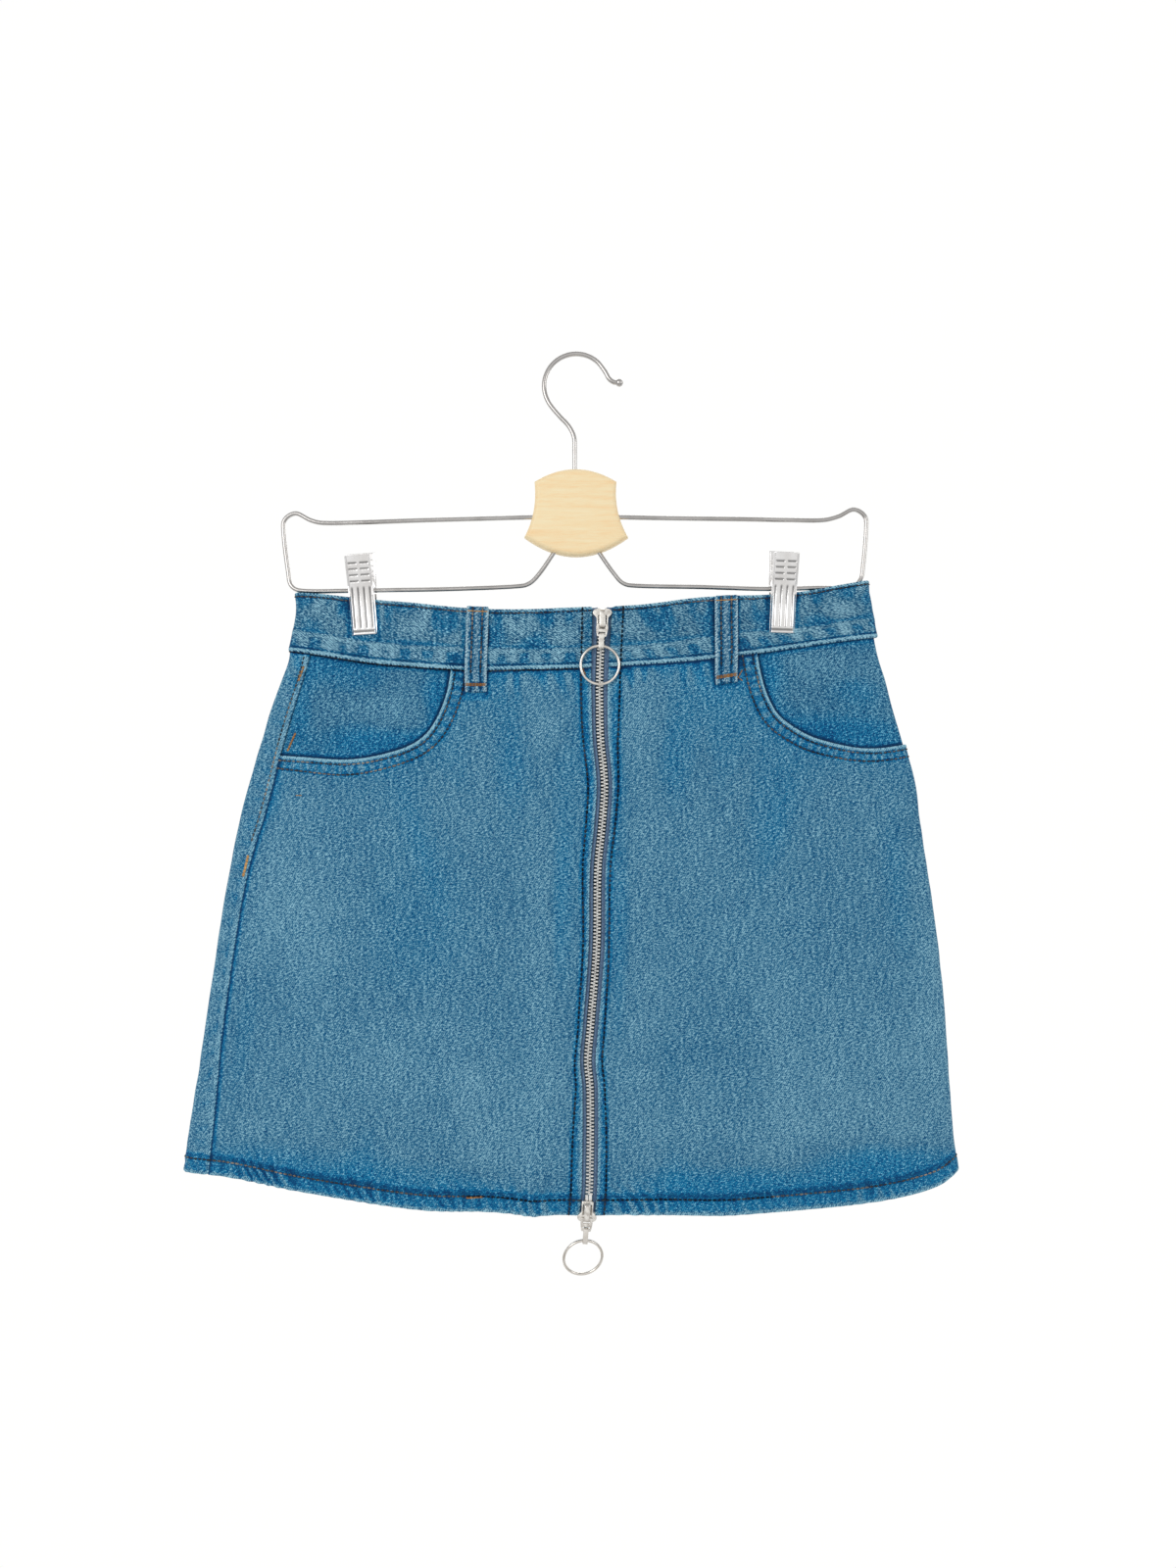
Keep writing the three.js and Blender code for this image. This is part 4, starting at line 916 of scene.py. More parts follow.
rows_down = np.concatenate([
    np.linspace(-1, -0.9, 9)[:-1], np.linspace(-0.9, -0.1, 26)[:-1], np.linspace(-0.1, -0.15 / BAND_HEIGHT, 11),
])
band_ends = zip(zip_edge(rows_down, "left"), 2 * math.pi + zip_edge(rows_down, "right"), rows_down)
band_rows = [even_steps(np.linspace(a, b, 1500), np.full(1500, lv), 520) for a, b, lv in band_ends]
angle, level = np.array(band_rows).transpose(1, 0, 2)
middle = cloth_middle(angle, level)
x, z = middle[..., 0], middle[..., 2]
walk = girth(middle, "back")
up = -level * BAND_HEIGHT
squares = np.sin(2 * math.pi * walk / SQUARE_PITCH + 1.4 * unevenness(walk, up * 0.1, 80, 71))
squares = np.clip(squares * 1.6, -1, 1) * bump(up - 7.0, 4.2)
over_ridge = up - RIDGE - 1.6 * unevenness(walk, up * 0, 120, 72)
ripple = np.sin(walk * 0.42 + 2.2 * unevenness(walk, up, 44, 73)) * bump(up - 33, 6)
near_clip = np.max([1 - ease(np.abs(x - place), 8, 14) for place in CLIP_PLACES], axis=0)
face = 0.16 * squares + 0.2 * bump(over_ridge, 1.6) + 0.16 * ripple + lines(up, BAND_RELIEF)
face = (face + 0.16 * unevenness(walk, up * 1.6, 30, 74)) * (1 - near_clip) - 0.02 * near_clip
# painted light and shade on the band's relief: on the printed-through squares, on and under the ridge, and on the
# ripples; the uneven tone is the wash's
shade = 0.42 * squares + lines(over_ridge, [(0, 1.6, 0.5), (2.5, 1.2, -0.45)]) + lines(up, BAND_WEAR_AND_SHADE)
shade = shade + 0.36 * ripple + 0.4 * unevenness(walk, up * 1.4, 22, 75)
shade = toned(shade, x, z, BAND_AREAS) * np.where(np.sin(angle) > 0, 1, 0.8)
for place, reach, whole_height in SHADOWS:
    beside = bump(np.abs(x - place) - reach, 1.3) * (1 if whole_height else ease(up, *CLIP_SHADOW))
    shade = shade - 1.0 * beside * (np.sin(angle) > 0)
outer = stand_off(angle, level, BAND_OUTER + face)
inner = stand_off(angle, level, np.full_like(level, BAND_INNER))
waistband = closed_sheet("denim_waistband", outer, inner, np.stack([walk, up], axis=-1), shade)
finish_piece(waistband, "body", band_denim, ["waistband"])


# Belt loops. Narrow strips with both long edges folded in, two rows of stitches, tacked to the
# band's top and, a little below its seam, to the skirt.
BELT_LOOPS = [
    # name, node, side (1 front, -1 back), middle of the top, middle of the foot, slant of its lower tack
    ("denim_loop_left", "belt_loop_left", 1, (-64.2, -168), (-65.7, -223), 0.0),
    ("denim_loop_right", "belt_loop_right", 1, (98.0, -160.6), (98.2, -217.4), 0.0015),
    ("denim_loop_back", "belt_loop_back", -1, (3.0, -167.4), (3.0, -223), 0.0),
]
LOOP_WIDTH = 13.4
LOOP_WALL = 1.6
LOOP_STITCHES = 3.5
LOOP_RELIEF = [(1.0, 0.9, 0.2), (LOOP_STITCHES, 0.7, -0.32)]  # from its edge, as the lines above
LOOP_WEAR_AND_SHADE = [(0.2, 1.0, 1.2), (LOOP_STITCHES, 0.8, -1.2), (6.7, 1.6, 0.3)]
TACK_PASSES = 3
loop_denim = denim(
    "loop_denim", paint(0, 52, 94), paint(26, 94, 134), paint(64, 116, 146), paint(176, 210, 222), 52, 1.2,
)
# the rows of stitches of all pieces are gathered here and sewn below
top_rows, zip_rows, waist_rows, tacks = [], [], [], []


def loop_place(across, level, side, top, foot, first_level, last_level):
    """Angle and distance off the cloth of a place on a belt loop, given across and by level."""
    share = (level - first_level) / (last_level - first_level)
    x = top[0] + (foot[0] - top[0]) * share + across
    angle = front_angle(x, level)
    above, below = BAND_OUTER + SEAM_GAP, DENIM / 2 + SEAM_GAP
    stand = above + (below - above) * ease(level, 0.004, 0.03)
    return (angle if side > 0 else 2 * math.pi - angle), stand


for loop_name, node, side, top, foot, slant in BELT_LOOPS:
    first_level, last_level = (on_front(*place)[1] for place in (top, foot))
    run = (side, top, foot, first_level, last_level)
    level = np.linspace(first_level, last_level, 62)[:, None] + np.zeros((1, 19))
    across = np.linspace(LOOP_WIDTH / 2, -LOOP_WIDTH / 2, 19)[None, :] * side + np.zeros((62, 1))
    angle, stand = loop_place(across, level, *run)
    z = cloth_middle(angle, level)[..., 2]
    edge = LOOP_WIDTH / 2 - np.abs(across)
    knots = np.sin(z * 1.25 + 3 * unevenness(z, across, 20, 81))
    face = lines(edge, LOOP_RELIEF) + 0.1 * knots * bump(edge - 3.2, 2)
    # worn pale at the edges and along the middle, with painted shade in the stitch grooves and on the puckers; a
    # little darker overall
    worn = lines(edge, LOOP_WEAR_AND_SHADE) + 0.25 * knots * bump(edge - 2.4, 2) - 0.2
    outer = stand_off(angle, level, stand + LOOP_WALL + face)
    inner = stand_off(angle, level, stand)
    piece = closed_sheet(loop_name, outer, inner, np.stack([across * side, z], axis=-1), worn)
    finish_piece(piece, "body", loop_denim, [node])
    for shift in (LOOP_WIDTH / 2 - LOOP_STITCHES, LOOP_STITCHES - LOOP_WIDTH / 2):
        at = np.linspace(first_level, last_level, 60)[2:-2]
        angle, stand = loop_place(np.full_like(at, shift), at, *run)
        top_rows.append(stand_off(angle, at, stand + LOOP_WALL - 0.1))
    sweep = np.linspace(-LOOP_WIDTH / 2 + 1.2, LOOP_WIDTH / 2 - 1.2, 8)
    for tack_level, lean in ((first_level + 0.07, 0.0), (last_level - 0.012, slant)):
        for number in range(TACK_PASSES):
            at = tack_level + 0.002 * (number - 1) - lean * sweep / LOOP_WIDTH * side
            angle, stand = loop_place(sweep, at, *run)
            tacks.append(stand_off(angle, at, stand + LOOP_WALL + 0.12))


# Stitching. Grey-brown thread along the pockets, hem, seams and loops, near-black beside the zip,
# and short orange bar tacks. Every stitch is a small spindle of thread, set along its row.
THREAD_LIFT = 0.16  # of a stitch's middle over the cloth
DITCH_LIFT = 0.05
HEM_ROW = 1 - HEM_HEIGHT / SKIRT_LENGTH
DARK_HEM = (-70, 128)  # between these, across, the hem is sewn with the zip's dark thread
BAND_ROW = -0.953
DITCH_ROW = 0.0026
TACKS = [
    # across, up, half length, degrees from upright, passes, panel
    (-217.2, -337.5, 6.0, 14, 3, "back"), (-181.0, -211.0, 4.0, 20, 2, "back"), (-187.6, -256.0, 5.5, 24, 2, "facing"),
    (-182.0, -291.2, 1.0, 90, 1, "left"), (-66.0, -552.8, 4.4, 88, 2, "left"), (4.4, -208.8, 2.4, -25, 2, "left"),
    (105.6, -213.0, 3.4, -50, 1, "right"), (107.4, -211.6, 2.2, 30, 1, "right"),
]
PASS_PITCH = 0.55


def on_panel(angle, level, side, lift=THREAD_LIFT, lip=True):
    whole, face, _ = panel_relief(angle, level, side, lip)
    return stand_off(angle, level, DENIM / 2 + whole + face + lift)


for side in ("left", "right"):
    dense = along(POCKETS[side], 900)
    tangent = np.gradient(dense, axis=0)
    tangent /= np.linalg.norm(tangent, axis=1, keepdims=True)
    below = np.stack([tangent[:, 1], -tangent[:, 0]], 1) * SIGN[side]
    walked = travelled(dense)
    for off in (np.full_like(walked, INNER_ROW), second_row(walked, side)):
        row = dense + below * off[:, None]
        angle, level = on_front(row[:, 0], row[:, 1])
        inside = angle < left_seam_angle(level, 1.0) if side == "left" else angle > 0.085
        inside = inside & (level > PANEL_TOP + 0.002)
        top_rows.append(on_panel(angle[inside], level[inside], side))

for side in ("left", "right", "back"):
    level = np.full(700, HEM_ROW)
    first, last = (edge[0] for edge in panel_sides(side, level, at_seam=0.6, at_zip=0.8))
    row = on_panel(np.linspace(first, last, 700), level, side)
    dark = (side != "back") & (row[:, 0] > DARK_HEM[0]) & (row[:, 0] < DARK_HEM[1])
    top_rows.append(row[~dark])
    if side != "back":
        zip_rows.append(row[dark])

for side in ("left", "right"):
    level = np.linspace(0.006, 0.998, 500)
    angle = front_angle(zip_x(level) + SIGN[side] * beside_zip(zip_height(level), side), level)
    zip_rows.append(on_panel(angle, level, side))

at = np.full(1600, BAND_ROW)
first, last = zip_edge(at[:1], "left", 1)[0], 2 * math.pi + zip_edge(at[:1], "right", 1)[0]
waist_rows.append(stand_off(np.linspace(first, last, 1600), at, BAND_OUTER - 0.05))
for side in ("left", "right"):
    at = np.linspace(-0.985, -0.01, 60)
    angle = front_angle(zip_x(at) + SIGN[side] * beside_zip(zip_height(at), side), at)
    zip_rows.append(stand_off(angle, at, BAND_OUTER + THREAD_LIFT))
# in the ditch of the waistband seam, in the near-black thread, whose darkness paints the seam's shadow, and beside the
# left side seam down to the hip
for first, last in ((front_angle(-68.0, 0.0), 3.06), (front_angle(-56.0, 0.0), front_angle(0.0, 0.0))):
    angle = np.linspace(float(first), float(last), 300)
    zip_rows.append(on_panel(angle, np.full(300, DITCH_ROW), "left", DITCH_LIFT))
level = np.linspace(0.012, 0.36, 200)
top_rows.append(on_panel(left_seam_angle(level, -2.9), level, "back"))

for x, z, half, degrees, passes, side in TACKS:
    lean = math.radians(degrees)
    sweep = np.linspace(-half, half, 8)
    for number in range(passes):
        shift = PASS_PITCH * (number - (passes - 1) / 2)
        tack_x = x + sweep * math.sin(lean) + shift * math.cos(lean)
        tack_z = z + sweep * math.cos(lean) - shift * math.sin(lean)
        angle, level = on_front(tack_x, tack_z)
        if side == "facing":
            tacks.append(stand_off(angle, level, np.full_like(level, -DENIM / 2 - SEAM_GAP + 0.3)))
        else:
            tacks.append(on_panel(angle, level, side, lip=False))


def thread_finish(name, colour, dark, glint):
    finish, tree = new_finish(name)
    fibre = noise(tree, own_place(tree), scale=1400.0)
    along_row = noise(tree, own_place(tree), scale=60.0)
    tone = calculate(tree, "MULTIPLY_ADD", along_row, 0.6, calculate(tree, "MULTIPLY", fibre, 0.4))
    surface(tree, {
        "Base Color": ramp(tree, tone, [(0.36, dark), (0.5, colour), (0.62, glint)]), "Roughness": 0.8,
        "Normal": uneven_face(tree, fibre, 0.5, 0.0002), "Specular IOR Level": 0.15,
    })
    return finish


def start_rows_tree(name, inputs, output, pivot="AUTO"):
    """Starts Geometry Nodes that set something along rows, evenly and turned along them.

    inputs are (name, kind, first value); it gives back the tree, its inputs and the places.
    """
    tree = bpy.data.node_groups.new(name, "GeometryNodeTree")
    sockets = [("Rows", "Geometry", None), ("Pitch", "Float", 0.003), *inputs, ("Finish", "Material", None)]
    for socket, kind, start in sockets:
        made = tree.interface.new_socket(socket, in_out="INPUT", socket_type="NodeSocket" + kind)
        if start is not None:
            made.default_value = start
    tree.interface.new_socket(output, in_out="OUTPUT", socket_type="NodeSocketGeometry")
    given = tree.nodes.new("NodeGroupInput").outputs
    spacing = {"Curve": given["Rows"], "Length": given["Pitch"]}
    spaced = put(tree, "GeometryNodeResampleCurve", spacing, mode="LENGTH")
    way = put(tree, "GeometryNodeInputTangent")
    turned = put(tree, "FunctionNodeAlignRotationToVector", {"Vector": way.outputs[0]}, axis="Z", pivot_axis=pivot)
    return tree, given, {"Points": spaced.outputs[0], "Rotation": turned.outputs[0]}


def end_rows_tree(tree, given, places, what):
    """Sets a thing at the places, makes all of it real and gives it its finish."""
    placed = put(tree, "GeometryNodeInstanceOnPoints", {**places, **what})
    real = put(tree, "GeometryNodeRealizeInstances", {0: placed.outputs[0]})
    made = put(tree, "GeometryNodeSetMaterial", {"Geometry": real.outputs[0], "Material": given["Finish"]})
    put(tree, "NodeGroupOutput", {0: made.outputs[0]})


def plain_mesh(source, name):
    """The evaluated object as a plain mesh piece; the source is removed."""
    bpy.context.view_layer.update()
    mesh = bpy.data.meshes.new_from_object(source.evaluated_get(bpy.context.evaluated_depsgraph_get()))
    mesh.name = name
    bpy.data.objects.remove(source)
    return set_in_scene(name, mesh)


def drawn_rows(name, rows):
    """A curve object with one straight-jointed line for each row of places, in metres."""
    curve = bpy.data.curves.new(name, "CURVE")
    curve.dimensions = "3D"
    for places in rows:
        spline = curve.splines.new("POLY")
        spline.points.add(len(places) - 1)
        spline.points.foreach_set("co", np.column_stack([places * MM, np.ones(len(places))]).ravel())
    return set_in_scene(name, curve)


def set_along(name, rows, tree, values):
    """What a tree sets along rows, with these values for its inputs, as a plain mesh piece."""
    drawn = drawn_rows(name + "_rows", rows)
    setting = drawn.modifiers.new("setting", "NODES")
    setting.node_group = tree
    for item in tree.interface.items_tree:
        if item.item_type == "SOCKET" and item.name in values:
            setting[item.identifier] = values[item.name]
    return plain_mesh(drawn, name)


# a stitch is a spindle of thread, a little longer or shorter than the next
inputs = [("Stitch length", "Float", 0.0024), ("Thread", "Float", 0.0007)]
stitching, given, places = start_rows_tree("stitches_along_rows", inputs, "Stitches")
spindle = put(stitching, "GeometryNodeMeshUVSphere", {"Segments": 6, "Rings": 4, "Radius": 0.5})
uneven = put(stitching, "FunctionNodeRandomValue", {"Seed": 7}, data_type="FLOAT")
spread = put(stitching, "ShaderNodeMapRange", {0: uneven.outputs[1], 1: 0.0, 2: 1.0, 3: 0.88, 4: 1.12})
wide = put(stitching, "ShaderNodeCombineXYZ", {0: given["Thread"], 1: given["Thread"], 2: given["Stitch length"]})
scaling = {0: wide.outputs[0], "Scale": spread.outputs[0]}
sized = put(stitching, "ShaderNodeVectorMath", scaling, operation="SCALE")
end_rows_tree(stitching, given, places, {"Instance": spindle.outputs[0], "Scale": sized.outputs[0]})

THREADS = [
    # thread, colour, dark and glint; piece, slot, rows; pitch, length and width of its stitches
    ("taupe_thread", (72, 73, 74), (26, 34, 46), (164, 154, 138),
     "stitches_taupe", "denim_panels", top_rows, 3.1, 2.7, 1.26),
    ("navy_thread", (12, 24, 38), (4, 14, 26), (66, 74, 80),
     "stitches_beside_zip", "denim_panels", zip_rows, 3.1, 2.7, 1.42),
    ("brown_thread", (72, 66, 62), (38, 42, 48), (136, 122, 108),
     "stitches_at_waist", "denim_waistband", waist_rows, 2.9, 2.6, 0.95),
    ("orange_thread", (178, 130, 76), (112, 76, 50), (216, 172, 112),
     "bar_tacks", "denim_loops", tacks, 2.1, 2.6, 0.78),
]
for thread, colour, dark, glint, name, slot, rows, pitch, length, width in THREADS:
    finish = thread_finish(thread, paint(*colour), paint(*dark), paint(*glint))
    sizes = {"Pitch": pitch * MM, "Stitch length": length * MM, "Thread": width * MM, "Finish": finish}
    piece = set_along(name, rows, stitching, sizes)
    piece.data.polygons.foreach_set("use_smooth", np.ones(len(piece.data.polygons), bool))
    finish_piece(piece, "body", finish, [])


# Zip. A two-way metal zip, open at both ends: slate tapes with a corded inner edge, sewn behind
# the folded denim, and two rows of pale metal teeth that mesh down the middle.
TAPE_INNER = 3.0
TAPE_CORD = 3.5  # the middle of its corded edge
TAPE_OUTER = 14.0
TAPE_FACE = -1.05
TAPE_BACK = -2.05
TAPE_COLOURS = [
    (0.0, paint(26, 40, 66)), (0.3, paint(80, 106, 140)), (0.5, paint(98, 127, 160)), (0.8, paint(126, 153, 183)),
]
tape_finish, tree = new_finish("zip_tape_weave")
cloth = put(tree, "ShaderNodeUVMap", uv_map="cloth").outputs[0]
tape_at = put(tree, "ShaderNodeMapping", {0: cloth, "Scale": (1000, 1000, 1)}).outputs[0]
parts = put(tree, "ShaderNodeSeparateXYZ", {0: tape_at})
zigzag = calculate(tree, "PINGPONG", parts.outputs["X"], 1.1)
ribbed = calculate(tree, "MULTIPLY_ADD", zigzag, 5.2, calculate(tree, "MULTIPLY", parts.outputs["Y"], 8.6))
ribbed = calculate(tree, "SINE", ribbed)
tape_tone = calculate(tree, "MULTIPLY_ADD", ribbed, 0.045, noise(tree, tape_at, scale=0.7, detail=3.0))
shaded = put(tree, "ShaderNodeAttribute", attribute_name="wear_and_shade").outputs["Fac"]
surface(tree, {
    "Base Color": ramp(tree, calculate(tree, "ADD", tape_tone, shaded), TAPE_COLOURS), "Roughness": 0.85,
    "Normal": uneven_face(tree, ribbed, 0.3, 0.0001), "Sheen Weight": 0.1,
})

zip_levels = np.concatenate([np.linspace(-1, -0.01, 30), np.linspace(0.004, 0.996, 300)])
for side, sign in SIGN.items():
    beside = np.concatenate([
        np.linspace(TAPE_INNER, 4.4, 8)[:-1], np.linspace(4.4, 8.0, 9)[:-1], np.linspace(8.0, TAPE_OUTER, 4),
    ])
    beside = beside[::-1] if side == "right" else beside
    beside, level = np.meshgrid(beside, zip_levels)
    angle = front_angle(zip_x(level) + sign * beside, level)
    cord = bump(beside - TAPE_CORD, 0.55)
    outer = stand_off(angle, level, TAPE_FACE + 0.42 * cord)
    inner = stand_off(angle, level, TAPE_BACK - 0.1 * cord)
    # painted shadow: darker along the denim's folded edge, which shades the tape
    hidden = -0.42 * bump(beside - zip_gap(level), 0.8)
    tape = closed_sheet("tape_" + side, outer, inner, np.stack([beside, outer[..., 2]], axis=-1), hidden)
    finish_piece(tape, "body", tape_finish, ["zip_tape_" + side])


def metal(name, colour, dark, roughness, scale, relief=0.00003, plating=1.0):
    """Bare or plated metal: slightly cloudy, finely marked from handling, with painted shade where "wear" is below
    zero, as in the clip plates' embossed grooves.
    """
    finish, tree = new_finish(name)
    cloud = noise(tree, own_place(tree), scale=scale, detail=3.0)
    scratch = noise(tree, own_place(tree), stretch=(scale * 9, scale * 9, scale * 1.4))
    groove_shade = put(tree, "ShaderNodeAttribute", attribute_name="wear_and_shade").outputs["Fac"]
    shown = put(tree, "ShaderNodeHueSaturation", {
        "Color": ramp(tree, cloud, [(0.35, dark), (0.6, colour)]),
        "Value": calculate(tree, "MULTIPLY_ADD", groove_shade, 0.75, 1.0),
    })
    rough = put(tree, "ShaderNodeMapRange", {0: scratch, 1: 0.3, 2: 0.7, 3: roughness * 0.75, 4: roughness * 1.35})
    surface(tree, {
        "Base Color": shown.outputs[0], "Metallic": plating, "Roughness": rough.outputs[0],
        "Normal": uneven_face(tree, scratch, 0.3, relief),
    })
    return finish


TOOTH_PITCH = 2.3
TOOTH_SIZE = (2.15, 2.3, 1.14)
TOOTH_EDGE = 0.3
TOOTH_OUT = 1.4  # from the zip's middle to the tooth's
NOSE_SIZE = (1.0, 1.2, 0.8)
CHAIN_TOP = -0.86
CHAIN_BOTTOM = 0.963
zip_metal = metal("zip_metal", (0.93, 0.90, 0.84, 1), (0.62, 0.58, 0.53, 1), 0.25, 420, plating=0.85)
teeth_metal = metal("teeth_metal", (0.95, 0.94, 0.90, 1), (0.74, 0.73, 0.70, 1), 0.3, 300, plating=0.8)
ring_metal = metal("ring_metal", (0.88, 0.84, 0.78, 1), (0.70, 0.65, 0.58, 1), 0.24, 120)
# one tooth, seen from the zip's middle: X across, Y out of the cloth, Z along the row
tooth_form = bmesh.new()
bmesh.ops.create_cube(tooth_form, size=1.0)
bmesh.ops.scale(tooth_form, vec=Vector(TOOTH_SIZE) * MM, verts=tooth_form.verts)
bmesh.ops.bevel(
    tooth_form, geom=list(tooth_form.edges), offset=TOOTH_EDGE * MM, segments=1, affect="EDGES", profile=0.6,
)
bmesh.ops.translate(tooth_form, vec=Vector((TOOTH_OUT, 0, 0)) * MM, verts=tooth_form.verts)
nose = bmesh.ops.create_cube(tooth_form, size=1.0)["verts"]
bmesh.ops.scale(tooth_form, vec=Vector(NOSE_SIZE) * MM, verts=nose)
tooth_mesh = bpy.data.meshes.new("tooth")
tooth_form.to_mesh(tooth_mesh)
tooth_form.free()
tooth = set_in_scene("tooth", tooth_mesh)

teeth_tree, given, places = start_rows_tree("teeth_along_zip", [("Tooth", "Object", None)], "Teeth", pivot="Y")
shape = put(teeth_tree, "GeometryNodeObjectInfo", {"Object": given["Tooth"]})
end_rows_tree(teeth_tree, given, places, {"Instance": shape.outputs["Geometry"]})

# the two rows run opposite ways, half a pitch apart, so that their teeth face and mesh
teeth_rows = []
at = np.concatenate([np.linspace(CHAIN_TOP, 0, 80), np.linspace(0.003, CHAIN_BOTTOM, 700)])
line = stand_off(front_angle(zip_x(at), at), at, 0 * at)
walked = travelled(line)
for lag in (0.0, TOOTH_PITCH / 2):
    steps = np.arange(lag, walked[-1], TOOTH_PITCH)
    row = np.stack([np.interp(steps, walked, line[:, c]) for c in range(3)], axis=1)
    teeth_rows.append(row if lag else row[::-1])
values = {"Pitch": TOOTH_PITCH * MM * 0.9995, "Tooth": tooth, "Finish": teeth_metal}
teeth = set_along("zip_teeth", teeth_rows, teeth_tree, values)
bpy.data.objects.remove(tooth)
finish_piece(teeth, "body", teeth_metal, ["zip_chain"])


# Sliders, tabs, links and rings. Cast pale metal: each slider is two heart-shaped plates on a
# neck with a bridge over the front one; a pierced tab swings under the bridge, a folded band
# hangs from the tab and a plain ring from the band. The lower slider is upside down.
SLIDERS = [
    # end, middle across and up, its lean, lean of what hangs, upside down, turn and lean of the ring
    ("top", 17.2, -175.3, 0.0, 3.6, False, 0, 0), ("bottom", 7.3, -560.7, 3.4, 4.4, True, 10, 14),
]
SLIDER_FACE = -2.8  # depths and heights from the slider's middle
TAB_DEPTH = SLIDER_FACE - 0.95
TAB_AXIS = -4.3
TAB_FOOT = -12.15
RING_AXIS = -18.1
RING_WIRE = 1.9
RING_RADIUS = (27 - RING_WIRE) / 2
UPRIGHT = Matrix(((1, 0, 0, 0), (0, 0, -1, 0), (0, 1, 0, 0), (0, 0, 0, 1)))  # drawn X, Y become X, Z
SIDEWAYS = Matrix(((0, 0, 1, 0), (1, 0, 0, 0), (0, 1, 0, 0), (0, 0, 0, 1)))  # drawn X, Y become Y, Z


def moved(across, out, up):
    """A place given in mm."""
    return Matrix.Translation(Vector((across, out, up)) * MM)


def turned_by(degrees, axis):
    return Matrix.Rotation(math.radians(degrees), 4, axis)


def cleaned(drawn, place):
    """A drawn object's mesh at a place, merged where it meets and with its faces outward."""
    piece = plain_mesh(drawn, "drawn")
    mesh = piece.data
    bpy.data.objects.remove(piece)
    form = bmesh.new()
    form.from_mesh(mesh)
    bmesh.ops.remove_doubles(form, verts=form.verts, dist=1e-6)
    bmesh.ops.transform(form, matrix=place, verts=form.verts)
    bmesh.ops.recalc_face_normals(form, faces=form.faces)
    form.to_mesh(mesh)
    form.free()
    return mesh


def pressed(outlines, thickness, rounding, stance, offset=(0, 0, 0), steps=3):
    """A plate cut to an outline, with holes, its edges rounded; the outline is closed and in mm."""
    curve = bpy.data.curves.new("outline", "CURVE")
    curve.dimensions = "2D"
    curve.fill_mode = "BOTH"
    curve.extrude = (thickness / 2 - rounding) * MM
    curve.bevel_depth = rounding * MM
    curve.bevel_resolution = steps
    curve.offset = -rounding * MM
    for outline in outlines:
        spline = curve.splines.new("POLY")
        spline.points.add(len(outline) - 1)
        spline.points.foreach_set("co", np.array([(u * MM, v * MM, 0, 1) for u, v in outline]).ravel())
        spline.use_cyclic_u = True
    return cleaned(set_in_scene("outline", curve), moved(*offset) @ stance)


def round_wire(points, diameter, closed=False, steps=3):
    """Round wire along a line of places in mm."""
    drawn = drawn_rows("wire", [np.array(points, float)])
    drawn.data.bevel_depth = diameter / 2 * MM
    drawn.data.bevel_resolution = steps
    drawn.data.use_fill_caps = not closed
    drawn.data.splines[0].use_cyclic_u = closed
    return cleaned(drawn, Matrix.Identity(4))


def joined(name, meshes, place, sharp=40):
    """Sets several meshes at a place as one piece, smooth but for edges sharper than that."""
    form = bmesh.new()
    for mesh in meshes:
        form.from_mesh(mesh)
    bmesh.ops.transform(form, matrix=place, verts=form.verts)
    mesh = bpy.data.meshes.new(name)
    form.to_mesh(mesh)
    form.free()
    mesh.polygons.foreach_set("use_smooth", np.ones(len(mesh.polygons), bool))
    mesh.set_sharp_from_angle(angle=math.radians(sharp))
    return set_in_scene(name, mesh)


def curved(*pieces):
    """An outline from bezier pieces, each of four points, and plain corners, each of two numbers."""
    points = []
    for part in pieces:
        if len(part) == 4:
            a, b, c, d = (np.array(p, float) for p in part)
            for t in np.linspace(0, 1, 9):
                s = 1 - t
                points.append(tuple(s**3 * a + 3 * t * s**2 * b + 3 * t * t * s * c + t**3 * d))
        else:
            points.append(part)
    before = points[-1:] + points[:-1]
    return [p for p, q in zip(points, before) if math.hypot(p[0] - q[0], p[1] - q[1]) > 1e-4]


def rounded_box(half_u, v0, v1, radius):
    """The outline of a box with round corners, as wide on both sides of the middle."""
    points = []
    for cu, cv, start in ((1, 0, -90), (1, 1, 0), (-1, 1, 90), (-1, 0, 180)):
        for degrees in np.linspace(start, start + 90, 6):
            turn = math.radians(degrees)
            u = cu * (half_u - radius) + radius * math.cos(turn)
            v = (v1 - radius if cv else v0 + radius) + radius * math.sin(turn)
            points.append((u, v))
    return points


